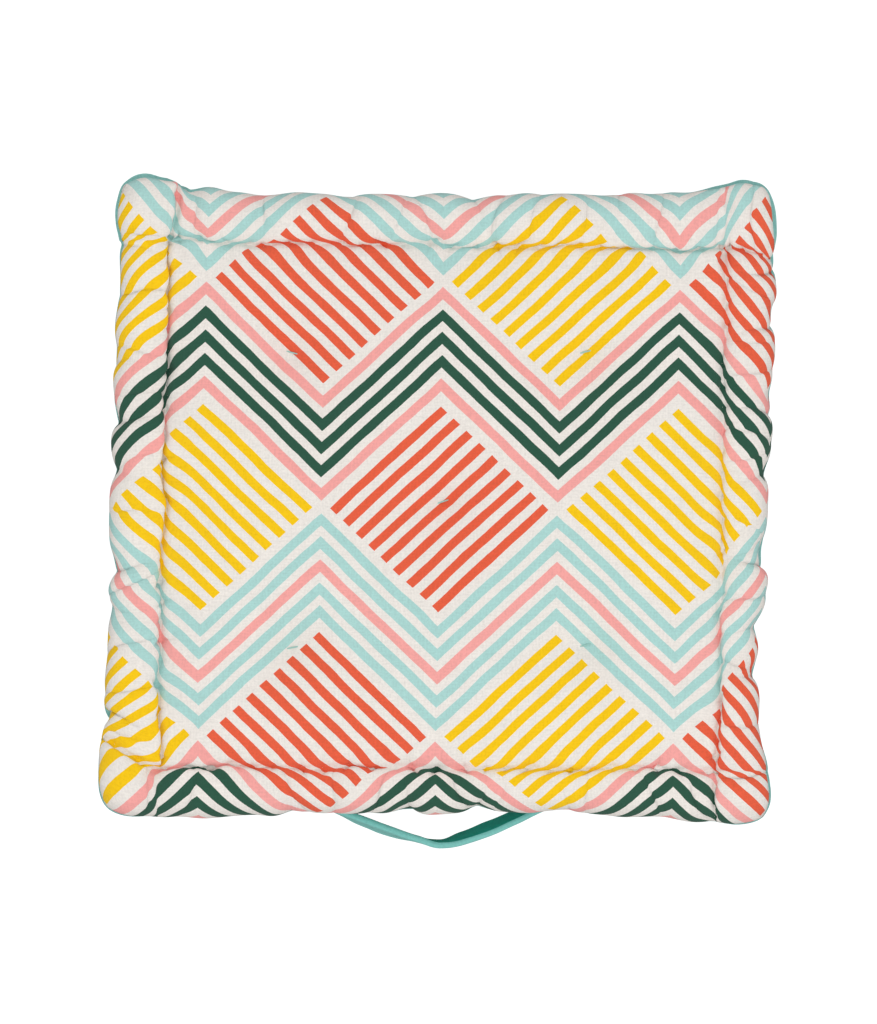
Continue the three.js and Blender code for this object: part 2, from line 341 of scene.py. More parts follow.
def read_table(rows, place):
    """A smooth curve through the rows of a table of (place, value)."""
    at, value = np.array(rows, float).T
    k = np.clip(np.searchsorted(at, place, side="right"), 1, len(at) - 1)
    share = np.clip((place - at[k - 1]) / (at[k] - at[k - 1]), 0.0, 1.0)
    share = share * share * (3.0 - 2.0 * share)
    return mix(value[k - 1], value[k], share)


def in_order(across_x, first, second):
    return (first, second) if across_x else (second, first)


def outline_at(side, along, crease):
    out = read_table(OUTLINE[side], along)
    for where, at, deep, wide, lean in CREASES:
        if where == side:
            out = out - crease * deep * bell(along - at - lean / 2, wide)
    return out


def crease_share(side, along, turn):
    """Fullness that the creases leave. turn runs from 0 at the stitch line to 1 at the seam."""
    share = np.ones(np.broadcast(along, turn).shape)
    for where, at, deep, wide, lean in CREASES:
        if where == side:
            share = share - CREASE_BITE * deep * bell(along - at - lean * (turn - 0.5), wide)
    return np.maximum(share, 1.0 - CREASE_MOST)


NOISE_WAVES = 9
NOISE_STRETCH = (0.7, 1.5)


def smooth_noise(x, y, wave, seed):
    """Even noise of about unit size from a few sine waves in fixed random directions."""
    draw = np.random.default_rng(seed)
    total = np.zeros(np.broadcast(x, y).shape)
    for _ in range(NOISE_WAVES):
        turn, phase = draw.uniform(0, 2 * PI), draw.uniform(0, 2 * PI)
        stretch = draw.uniform(*NOISE_STRETCH)
        k = 2 * PI / (wave * stretch)
        total += np.sin(k * (math.cos(turn) * x + math.sin(turn) * y) + phase)
    return total / math.sqrt(NOISE_WAVES)


class Lines:
    """Lines across the pad. field is the share of the stitched field, roll runs from -1 at one
    seam to 1 at the other, and cloth is the place on the flat panel."""

    def __init__(self, field, roll):
        self.field = field
        self.roll = roll
        self.cloth = (field - 0.5) * FIELD_CLOTH + roll * ROLL_CLOTH

    def at(self, index):
        return Lines(self.field[index], self.roll[index])


def surface_lines():
    roll = (np.arange(ROLL_STEPS, 0, -1) / ROLL_STEPS) ** ROLL_SPACING
    near = np.cumsum(np.linspace(NEAR_STEP, MIDDLE_STEP, NEAR_STEPS)) / FIELD_SPAN
    middle = np.linspace(near[-1], 1.0 - near[-1], MIDDLE_STEPS + 1)[1:-1]
    inner = np.concatenate([[0.0], near, middle, 1.0 - near[::-1], [1.0]])
    field = np.concatenate([np.zeros(ROLL_STEPS), inner, np.ones(ROLL_STEPS)])
    rolls = np.concatenate([-roll, np.zeros(len(inner)), roll[::-1]])
    return Lines(field, rolls)


def width_share(angle):
    return (1.0 - np.cos(angle)) / 2.0


def field_point(u, v):
    front = [mix(left, right, u.field) for left, right in zip(FRONT_LEFT, FRONT_RIGHT)]
    back = [mix(left, right, u.field) for left, right in zip(BACK_LEFT, BACK_RIGHT)]
    return [mix(near, far, v.field) for near, far in zip(front, back)]


# The sides that lines across x and lines across y roll over, low then high
LEFT_RIGHT = ("left", "right")
FRONT_BACK = ("front", "back")


def by_side(sides, own, other, table_at):
    """A value read from the table of the side that the lines of own roll over."""
    return np.where(own.roll < 0, table_at(sides[0], other), table_at(sides[1], other))


class Place:
    """Where the lines u and v cross: the stitched point, the angles and the room outside it."""

    def __init__(self, u, v, climb=1.0):
        self.u = u
        self.v = v
        self.x, self.y = field_point(u, v)
        self.near_x = self.x + np.sign(u.roll) * width_share(PI * np.abs(u.roll)) * ROLL_WIDE
        self.near_y = self.y + np.sign(v.roll) * width_share(PI * np.abs(v.roll)) * ROLL_WIDE

        def climb_at(side, along):
            return climb * read_table(SEAM_CLIMB[side], along)

        self.seam_u = PI * (1.0 - by_side(LEFT_RIGHT, u, self.near_y, climb_at))
        self.seam_v = PI * (1.0 - by_side(FRONT_BACK, v, self.near_x, climb_at))
        self.turn_u = np.abs(u.roll) * self.seam_u
        self.turn_v = np.abs(v.roll) * self.seam_v

    def room(self, crease_u, crease_v):
        out_u = by_side(LEFT_RIGHT, self.u, self.near_y, lambda s, a: outline_at(s, a, crease_u))
        out_v = by_side(FRONT_BACK, self.v, self.near_x, lambda s, a: outline_at(s, a, crease_v))
        return out_u - np.abs(self.x), out_v - np.abs(self.y)


class BesideLine:
    """A place as one stitch line sees it: outside is on the roll and inside is the distance into
    the field. past and beyond are shares of the rolls at the end that stops and at the other."""

    def __init__(self, place, side, across_x, outwards, through_end):
        own, other = in_order(across_x, place.u, place.v)
        self.own_turn, other_turn = in_order(across_x, place.turn_u, place.turn_v)
        self.side = side
        self.across_x = across_x
        self.outside = own.roll * outwards > 0
        self.inside = (own.field if outwards < 0 else 1.0 - own.field) * FIELD_SPAN
        share = width_share(other_turn)
        self.past = np.where(other.roll * through_end < 0, share, 0.0)
        self.beyond = np.where(other.roll * through_end > 0, share, 0.0)

    def near(self, roll_reach, field_reach):
        own_share = width_share(self.own_turn)
        return np.where(self.outside, bell(own_share, roll_reach), bell(self.inside, field_reach))


def panel_plan(place):
    """Plan of the top or back panel, out to the seam."""
    share_u = width_share(place.turn_u)
    share_v = width_share(place.turn_v)
    room_u, room_v = place.room(share_u**2 * (1 - share_v), share_v**2 * (1 - share_u))
    x = place.x + np.sign(place.u.roll) * share_u * room_u * (1 - CORNER_CUT * share_v**CORNER_TURN)
    y = place.y + np.sign(place.v.roll) * share_v * room_v * (1 - CORNER_CUT * share_u**CORNER_TURN)
    for row in STITCH_LINES:
        line = BesideLine(place, *row)
        drift = LINE_DRIFT[line.side] * line.beyond * line.near(*DRIFT_REACH)
        along = place.near_y if line.across_x else place.near_x
        close = line.near(*WANDER_REACH)
        end = bell(line.past, WANDER_END)
        for wide, wave in WANDER:
            noise = smooth_noise(along, 0.0, wave, WANDER_SEED + len(line.side))
            drift = drift + wide * noise * close * end
        if line.across_x:
            x = x + drift
        else:
            y = y + drift
    return x, y


def stitch_share(place):
    """How far the stitch lines let the cloth rise, 0 on a line."""
    share = np.ones(np.broadcast(place.u.roll, place.v.roll).shape)
    for row in STITCH_LINES:
        line = BesideLine(place, *row)
        near = np.clip(line.inside / PILLOW_EDGE, 0.0, 1.0)
        rise_in = np.sqrt(1.0 - (1.0 - near) ** 2)
        rise_out = np.where(line.own_turn < PI / 2, np.abs(np.sin(line.own_turn)) ** ROLL_SQUARE, 1.0)
        rise = np.where(line.outside, rise_out, rise_in)
        deep = LINE_DEEP[line.side] * (1.0 - LINE_SHALLOWS * line.beyond)
        share = share * (1.0 - deep * (1.0 - rise) * bell(line.past * ROLL_WIDE, LINE_END))
    return share


def roll_fall(place):
    """Fall of the rolls from their crest to the seam."""
    fall_u = np.where(place.turn_u > PI / 2, np.sin(place.turn_u), 1.0)
    fall_v = np.where(place.turn_v > PI / 2, np.sin(place.turn_v), 1.0)
    return fall_u * fall_v


def creases_over(place, x, y):
    over_u = by_side(LEFT_RIGHT, place.u, y, lambda s, a: crease_share(s, a, np.abs(place.u.roll)))
    over_v = by_side(FRONT_BACK, place.v, x, lambda s, a: crease_share(s, a, np.abs(place.v.roll)))
    share = np.where(place.u.roll != 0, over_u, 1.0)
    return share * np.where(place.v.roll != 0, over_v, 1.0)


def tuft_distances(x, y):
    return [np.hypot(x - at_x, y - at_y) for at_x, at_y in TUFTS]


def top_height(place, x, y):
    crown_u = 1.0 - (2.0 * place.u.field - 1.0) ** CROWN_SQUARE
    crown_v = 1.0 - (2.0 * place.v.field - 1.0) ** CROWN_SQUARE
    fullness = stitch_share(place) * roll_fall(place) * creases_over(place, x, y)
    height = UPPER_SEAM + ROLL_HALF * fullness + CROWN_RISE * crown_u * crown_v
    for distance in tuft_distances(x, y):
        height = height - TUFT_DEEP * bell(distance, TUFT_WIDE)
        height = height - TUFT_PIT_DEEP * bell(distance, TUFT_PIT_WIDE)
    return height


def back_height(place, x, y):
    groove = 1.0 - BACK_GROOVE * (1.0 - stitch_share(place))
    height = np.maximum(LOWER_SEAM - (LOWER_SEAM + FLOOR_PRESS) * groove * roll_fall(place), 0.0)
    for distance in tuft_distances(x, y):
        height = height + BACK_TUFT_DEEP * bell(distance, BACK_TUFT_WIDE)
    return height


def seam_stations(last):
    """Indices of the crossings round the seam, anticlockwise from the front left corner."""
    run = np.arange(last)
    i = np.concatenate([run, np.full(last, last), last - run, np.zeros(last, int)])
    j = np.concatenate([np.zeros(last, int), run, np.full(last, last), last - run])
    return i, j


def side_rows():
    """Rows of the side cloth below the upper seam: part, share of that part, cloth from the seam."""
    parts = [("upper", UNDER_STEPS, UNDER_STEPS, 0.0, UNDER_CLOTH),
             ("wall", WALL_STEPS, WALL_STEPS, UNDER_CLOTH, WALL_CLOTH),
             ("lower", UNDER_STEPS, UNDER_STEPS - 1, UNDER_CLOTH + WALL_CLOTH, UNDER_CLOTH)]
    return [(part, k / steps, above + k / steps * cloth)
            for part, steps, last, above, cloth in parts for k in range(1, last + 1)]


def side_band(lines):
    """Points of the side cloth, one row of stations after another."""
    i, j = seam_stations(len(lines.field) - 1)
    place = Place(lines.at(i), lines.at(j))
    u_side = np.abs(place.u.roll) == 1.0
    seam = np.where(u_side, place.seam_u, place.seam_v)
    ratio_u = width_share(place.turn_u) / width_share(place.seam_u)
    ratio_v = width_share(place.turn_v) / width_share(place.seam_v)
    low = LOWER_SEAM - ROLL_HALF * math.sin(WALL_ANGLE)
    high = UPPER_SEAM + ROLL_HALF * math.sin(WALL_ANGLE)
    stitched = stitch_share(place)
    rows = []
    for part, share, _ in side_rows():
        if part == "upper":
            angle = mix(seam, WALL_ANGLE, share)
            inset, wallward = 1.0 - width_share(angle), share
            above = np.maximum(np.sin(angle), 0.0) * stitched
            z = UPPER_SEAM + ROLL_HALF * (np.minimum(np.sin(angle), 0.0) + above)
        elif part == "lower":
            angle = np.full_like(seam, mix(WALL_ANGLE, PI, share))
            inset, wallward = 1.0 - width_share(angle), 1.0 - share
            z = LOWER_SEAM - ROLL_HALF * np.sin(angle)
        else:
            bow = min(1.0, WALL_BOW * math.sin(PI * share))
            inset, wallward = mix(1.0 - width_share(WALL_ANGLE), WALL_INSET / ROLL_WIDE, bow), 1.0
            z = np.full_like(seam, mix(high, low, share))
        crease = (1.0 - wallward) ** 2
        room_u, room_v = place.room(crease * (1 - ratio_v) * u_side, crease * (1 - ratio_u) * ~u_side)
        spread = 1.0 - inset
        in_u = inset * mix(room_u, ROLL_WIDE, wallward)
        in_v = inset * mix(room_v, ROLL_WIDE, wallward)
        x_off = ratio_u * (room_u * (1 - CORNER_CUT * (ratio_v * spread) ** CORNER_TURN) - in_u)
        y_off = ratio_v * (room_v * (1 - CORNER_CUT * (ratio_u * spread) ** CORNER_TURN) - in_v)
        x = place.x + np.sign(place.u.roll) * x_off
        y = place.y + np.sign(place.v.roll) * y_off
        rows.append(np.stack([x, y, z], axis=-1))
    return np.array(rows)


def vertex_normals(points, faces):
    corner = points[faces]
    normal = np.cross(corner[:, 2] - corner[:, 0], corner[:, 3] - corner[:, 1])
    total = np.zeros_like(points)
    for k in range(4):
        np.add.at(total, faces[:, k], normal)
    return total / np.maximum(np.linalg.norm(total, axis=1, keepdims=True), 1e-9)


def distance_to_segment(x, y, start, end):
    run = np.subtract(end, start)
    share = np.clip(((x - start[0]) * run[0] + (y - start[1]) * run[1]) / (run @ run), 0.0, 1.0)
    return np.hypot(x - start[0] - share * run[0], y - start[1] - share * run[1])


class StitchLine:
    """One line of stitches: the crossings it runs through, and which of them a stitch holds."""

    def __init__(self, lines, number):
        self.side, self.across_x, self.outwards, self.through_end = STITCH_LINES[number]
        count = len(lines.field)
        self.own = ROLL_STEPS if self.outwards < 0 else count - 1 - ROLL_STEPS
        first, last = (ROLL_STEPS, count) if self.through_end > 0 else (0, count - ROLL_STEPS)
        self.others = np.arange(first, last)
        roll = lines.roll[self.others]
        past = width_share(PI * np.abs(roll)) * ROLL_WIDE
        self.grip = np.where(roll * self.through_end > 0, 1.0, bell(past, LINE_END))
        draw = np.random.default_rng(STITCH_SEED + number)
        cloth = lines.cloth[self.others]
        marks, following = [], cloth[0] + draw.uniform(*FIRST_STITCH)
        for k, place in enumerate(cloth):
            if place >= following:
                marks.append(k)
                following = place + draw.uniform(*STITCH_GAP)
        self.marks = np.array(marks)
        self.place = cloth[self.marks]
        self.deep = draw.uniform(*PUCKER_DEEP, len(marks))
        self.deep[draw.random(len(marks)) < STRONG_SHARE] *= STRONG_PUCKER
        self.lean = draw.uniform(-PUCKER_LEAN, PUCKER_LEAN, len(marks))
        self.reach = draw.uniform(*PUCKER_REACH, len(marks))

    def crossing(self, k):
        own = np.full(len(k), self.own)
        return (own, self.others[k]) if self.across_x else (self.others[k], own)


class Cover:
    """The pad's whole cover: its points, faces, flat panels, and what holds and fills it."""

    def __init__(self):
        self.lines = surface_lines()
        self.count = len(self.lines.field)
        self.stitch_lines = [StitchLine(self.lines, k) for k in range(len(STITCH_LINES))]
        u = Lines(self.lines.field[:, None], self.lines.roll[:, None])
        v = Lines(self.lines.field[None, :], self.lines.roll[None, :])
        top, back = Place(u, v), Place(u, v, climb=0.0)
        top_x, top_y = panel_plan(top)
        back_x, back_y = panel_plan(back)
        sheets = [
            np.stack([top_x, top_y, top_height(top, top_x, top_y)], axis=-1),
            np.stack([back_x, back_y, back_height(back, back_x, back_y)], axis=-1),
            side_band(self.lines),
        ]
        self.rows, self.stations = sheets[2].shape[:2]
        self.points = np.concatenate([sheet.reshape(-1, 3) for sheet in sheets])
        panel = self.count**2
        self.top_ids = np.arange(panel).reshape(self.count, self.count)
        self.back_ids = self.top_ids + panel
        band_ids = np.arange(self.rows * self.stations).reshape(self.rows, -1) + 2 * panel
        self.seam_i, self.seam_j = seam_stations(self.count - 1)
        upper = self.top_ids[self.seam_i, self.seam_j]
        lower = self.back_ids[self.seam_i, self.seam_j]
        self.ring_ids = np.vstack([upper, band_ids, lower])
        self.make_faces()
        self.make_panels()
        self.gather()
        self.hold_and_fill()

    def make_faces(self):
        t, b, ring = self.top_ids, self.back_ids, self.ring_ids
        top = np.stack([t[:-1, :-1], t[1:, :-1], t[1:, 1:], t[:-1, 1:]], axis=-1).reshape(-1, 4)
        back = np.stack([b[:-1, :-1], b[:-1, 1:], b[1:, 1:], b[1:, :-1]], axis=-1).reshape(-1, 4)
        above, below = ring[:-1], ring[1:]
        faces = np.stack([above, below, np.roll(below, -1, 1), np.roll(above, -1, 1)], axis=-1)
        self.faces = np.concatenate([top, back, faces.reshape(-1, 4)])
        self.top_faces = len(top)
        self.panel_faces = len(top) + len(back)

    def make_panels(self):
        """The cut box that gives the cloth its lengths, and the flat place of each face corner."""
        cloth = self.lines.cloth
        half = cloth[-1]
        drop = np.array([0.0] + [row[2] for row in side_rows()] + [SIDE_CLOTH])
        a, b = np.meshgrid(cloth, cloth, indexing="ij")
        panel = np.stack([a, b, np.zeros_like(a)], axis=-1).reshape(-1, 3)
        ring = np.stack([cloth[self.seam_i], cloth[self.seam_j]], axis=-1)
        side = np.concatenate([np.repeat(ring[None], self.rows, 0),
                               -np.repeat(drop[1:-1, None, None], self.stations, 1)], axis=-1)
        self.cut = np.concatenate([panel, panel - [0, 0, SIDE_CLOTH], side.reshape(-1, 3)])
        self.place = self.cut * [1.0, 1.0, -1.0]

        around = np.append(np.concatenate([cloth[:-1] + half + k * 2 * half for k in range(4)]), 8 * half)
        row, station = np.meshgrid(np.arange(self.rows + 1), np.arange(self.stations), indexing="ij")
        corners = [(row, station), (row + 1, station), (row + 1, station + 1), (row, station + 1)]
        side_uv = np.stack([np.stack([around[s], -half - drop[r]], -1) for r, s in corners], axis=2)
        self.uv = np.concatenate([self.cut[self.faces[:self.panel_faces], :2], side_uv.reshape(-1, 4, 2)])

        run = np.where(np.abs(self.lines.roll[:, None]) > np.abs(self.lines.roll[None, :]), b, a)
        edge = half - np.maximum(np.abs(a), np.abs(b))
        from_seam = np.minimum(drop[1:-1], SIDE_CLOTH - drop[1:-1])
        panel_seam = np.stack([edge, run], -1).reshape(-1, 2)
        side_seam = np.stack(np.broadcast_arrays(from_seam[:, None], around[None, :-1]), -1).reshape(-1, 2)
        self.seam = np.concatenate([panel_seam, panel_seam, side_seam])

    def gather(self):
        """Presses the short folds of the corners and some unevenness into the cloth."""
        top = self.points[self.top_ids]
        press = np.zeros(len(self.points))
        for start, end, deep, wide in FOLDS:
            away = distance_to_segment(top[..., 0], top[..., 1], start, end)
            press[self.top_ids] += deep * bell(away, wide)
        x, y = self.points[:, 0], self.points[:, 1]
        uneven = sum(high * smooth_noise(x, y, wave, LUMP_SEED + k)
                     for k, (high, wave) in enumerate(UNEVEN))
        uneven[self.back_ids] *= BACK_UNEVEN
        self.points = self.points - vertex_normals(self.points, self.faces) * (press + uneven)[:, None]
        self.points[:, 2] = np.maximum(self.points[:, 2], 0.0)

    def hold_and_fill(self):
        """How firmly each point is sewn down, and how hard the filling presses on it."""
        held = np.zeros(len(self.points))

        def hold(ids, firmly):
            held[ids] = np.maximum(held[ids], firmly)

        for line in self.stitch_lines:
            every = line.crossing(np.arange(len(line.others)))
            hold(self.top_ids[every], LINE_HOLD * line.grip)
            hold(self.back_ids[every], LINE_HOLD * line.grip)
            hold(self.top_ids[line.crossing(line.marks)], line.grip[line.marks])
        top = self.points[self.top_ids]
        for start, end, _, wide in FOLDS:
            away = distance_to_segment(top[..., 0], top[..., 1], start, end)
            hold(self.top_ids, FOLD_HOLD * bell(away, wide))
        for distance in tuft_distances(self.points[:, 0], self.points[:, 1]):
            held[distance < TUFT_HOLD_REACH] = 1.0
        lower_seam = UNDER_STEPS + WALL_STEPS
        wall = self.ring_ids[UNDER_STEPS + 1: lower_seam]
        held[wall] = WALL_HOLD
        held[self.ring_ids[[UNDER_STEPS, lower_seam]]] = WALL_SEAM_HOLD
        field = (slice(ROLL_STEPS, self.count - ROLL_STEPS),) * 2
        held[self.back_ids[field]] = 1.0
        self.held = held

        filled = np.zeros(len(self.points))
        filled[self.top_ids] = 1.0
        filled[self.top_ids[field]] = FIELD_FILL
        filled[self.back_ids] = BACK_FILL
        filled[self.back_ids[field]] = 0.0
        filled[self.ring_ids[1: UNDER_STEPS]] = 1.0
        filled[wall] = WALL_FILL
        filled[self.ring_ids[lower_seam + 1: -1]] = UNDER_FILL
        lumps = 1.0 + LUMP * smooth_noise(self.points[:, 0], self.points[:, 1], LUMP_WAVE, LUMP_SEED + 2)
        self.filled = np.clip(filled * lumps, 0.0, 1.0)


def make_mesh(name, points, faces):
    mesh = bpy.data.meshes.new(name)
    mesh.vertices.add(len(points))
    mesh.vertices.foreach_set("co", np.asarray(points, np.float32).ravel())
    mesh.loops.add(faces.size)
    mesh.loops.foreach_set("vertex_index", faces.astype(np.int32).ravel())
    mesh.polygons.add(len(faces))
    mesh.polygons.foreach_set("loop_start", np.arange(0, faces.size, faces.shape[1], dtype=np.int32))
    mesh.polygons.foreach_set("use_smooth", np.ones(len(faces), bool))
    mesh.update(calc_edges=True)
    mesh.validate()
    return link_mesh(name, mesh)


def link_mesh(name, mesh):
    mesh.name = name
    obj = bpy.data.objects.new(name, mesh)
    bpy.context.scene.collection.objects.link(obj)
    return obj


def weight_group(obj, name, weights):
    group = obj.vertex_groups.new(name=name)
    levels = np.round(weights, 2)
    for level in np.unique(levels[levels > 0]):
        group.add(np.nonzero(levels == level)[0].tolist(), float(level), "REPLACE")


def read_vectors(layer, key="vector"):
    values = np.empty(len(layer) * 3, np.float32)
    layer.foreach_get(key, values)
    return values.reshape(-1, 3).astype(float)


def add_vectors(mesh, name, values):
    layer = mesh.attributes.new(name, "FLOAT_VECTOR", "POINT")
    layer.data.foreach_set("vector", np.asarray(values, np.float32).ravel())


def corner_vertices(mesh):
    loops = np.empty(len(mesh.loops), np.int32)
    mesh.loops.foreach_get("vertex_index", loops)
    return loops


def add_cloth_uv(mesh, flat):
    """The place of each face corner on the flat cloth, from millimetres."""
    layer = mesh.uv_layers.new(name="cloth")
    layer.data.foreach_set("uv", (flat * MM).astype(np.float32).ravel())


def plain_mesh(obj):
    """The object's mesh with its modifiers applied. The object is removed."""
    graph = bpy.context.evaluated_depsgraph_get()
    graph.update()
    mesh = bpy.data.meshes.new_from_object(obj.evaluated_get(graph), depsgraph=graph)
    bpy.data.objects.remove(obj)
    return mesh


def subdivide(obj):
    finer = obj.modifiers.new("Finer", "SUBSURF")
    finer.levels = finer.render_levels = 1


def plump(cover, settings):
    """Fills the cover as cloth held by its stitches, and returns its points. The inner part of the
    back lies on the floor and is left out of the cloth."""
    inner = np.zeros((cover.count, cover.count), bool)
    inner[ROLL_STEPS + 1: -ROLL_STEPS - 1, ROLL_STEPS + 1: -ROLL_STEPS - 1] = True
    hidden = np.zeros(len(cover.points), bool)
    hidden[cover.back_ids[inner]] = True
    faces = cover.faces[~hidden[cover.faces].any(axis=1)]
    used = np.unique(faces)
    place = np.zeros(len(cover.points), int)
    place[used] = np.arange(len(used))
    cloth = make_mesh("cloth run", cover.points[used] * MM, place[faces])
    weight_group(cloth, "held", cover.held[used])
    weight_group(cloth, "filled", cover.filled[used])
    cloth.shape_key_add(name="Basis")
    flat = cloth.shape_key_add(name="Cut")
    flat.data.foreach_set("co", (cover.cut[used] * MM).astype(np.float32).ravel())
    flat.value = 0.0

    modifier = cloth.modifiers.new("Cloth", "CLOTH")
    cotton = modifier.settings
    cotton.quality = settings.steps
    for name, value in COTTON.items():
        setattr(cotton, name, value)
    cotton.use_pressure = True
    cotton.uniform_pressure_force = settings.pressure
    cotton.vertex_group_pressure = "filled"
    cotton.vertex_group_mass = "held"
    cotton.rest_shape_key = flat
    cotton.effector_weights.gravity = 0.0
    modifier.collision_settings.use_collision = False
    modifier.collision_settings.use_self_collision = False
    modifier.point_cache.frame_start = 1
    modifier.point_cache.frame_end = settings.frames
    scene = bpy.context.scene
    for number in range(1, settings.frames + 1):
        scene.frame_set(number)
    settled = cloth.evaluated_get(bpy.context.evaluated_depsgraph_get())
    moved = read_vectors(settled.data.vertices, "co") / MM
    scene.frame_set(1)
    bpy.data.objects.remove(cloth)

    points = cover.points.copy()
    step = moved - points[used]
    far = np.linalg.norm(step, axis=1, keepdims=True)
    cap = settings.cap / MM
    points[used] += step * (cap * np.tanh(far / cap) / np.maximum(far, 1e-9))
    return points


def shut_grooves(cover, points):
    """Presses the walls of each stitched groove together, with the roll leaning in over it."""
    top = points[cover.top_ids]
    for line in cover.stitch_lines:
        strip = top if line.across_x else top.transpose(1, 0, 2)
        axis = 0 if line.across_x else 1
        at = strip[line.own, line.others].copy()
        firm = np.clip(line.grip * GROOVE_FIRM - GROOVE_SLACK, 0.0, 1.0)
        firm = firm * read_table(CLOSURE[line.side], at[:, 1 - axis])
        reach = line.own + np.arange(-GROOVE_SEARCH, GROOVE_SEARCH + 1)[:, None]
        deep = np.maximum(strip[reach, line.others[None, :], 2].max(axis=0) - at[:, 2], 1.0)
        for steps in [*range(-GROOVE_ROWS, 0), *range(1, GROOVE_ROWS + 1)]:
            own = line.own + steps * line.outwards
            row = strip[own, line.others]
            out = (row[:, axis] - at[:, axis]) * line.outwards
            rise = np.clip((row[:, 2] - at[:, 2]) / deep, 0.0, 1.0)
            plane = -OVERHANG[line.side] * np.sin(np.minimum(rise / OVERHANG_FULL, 1.0) * PI / 2)
            wall = plane + math.copysign(CLOTH_GAP, steps) * np.minimum(rise * GAP_RISE, 1.0)
            pull = np.clip((GROOVE_OPEN - rise) / (GROOVE_OPEN - GROOVE_SHUT), 0.0, 1.0)
            pull = pull * pull * (3.0 - 2.0 * pull) * bell(out, GROOVE_REACH)
            kept = mix(out, wall, pull)
            kept = np.maximum(kept, wall) if steps > 0 else np.minimum(kept, wall)
            row[:, axis] += firm * (kept - out) * line.outwards
            strip[own, line.others] = row
    points[cover.top_ids] = top
    points[:, 2] = np.maximum(points[:, 2], 0.0)
    return points


def cusp(distance, width):
    """1 at a crease and falling off steeply on both sides."""
    return np.exp((0.5 - np.hypot(distance, 0.5)) / width)


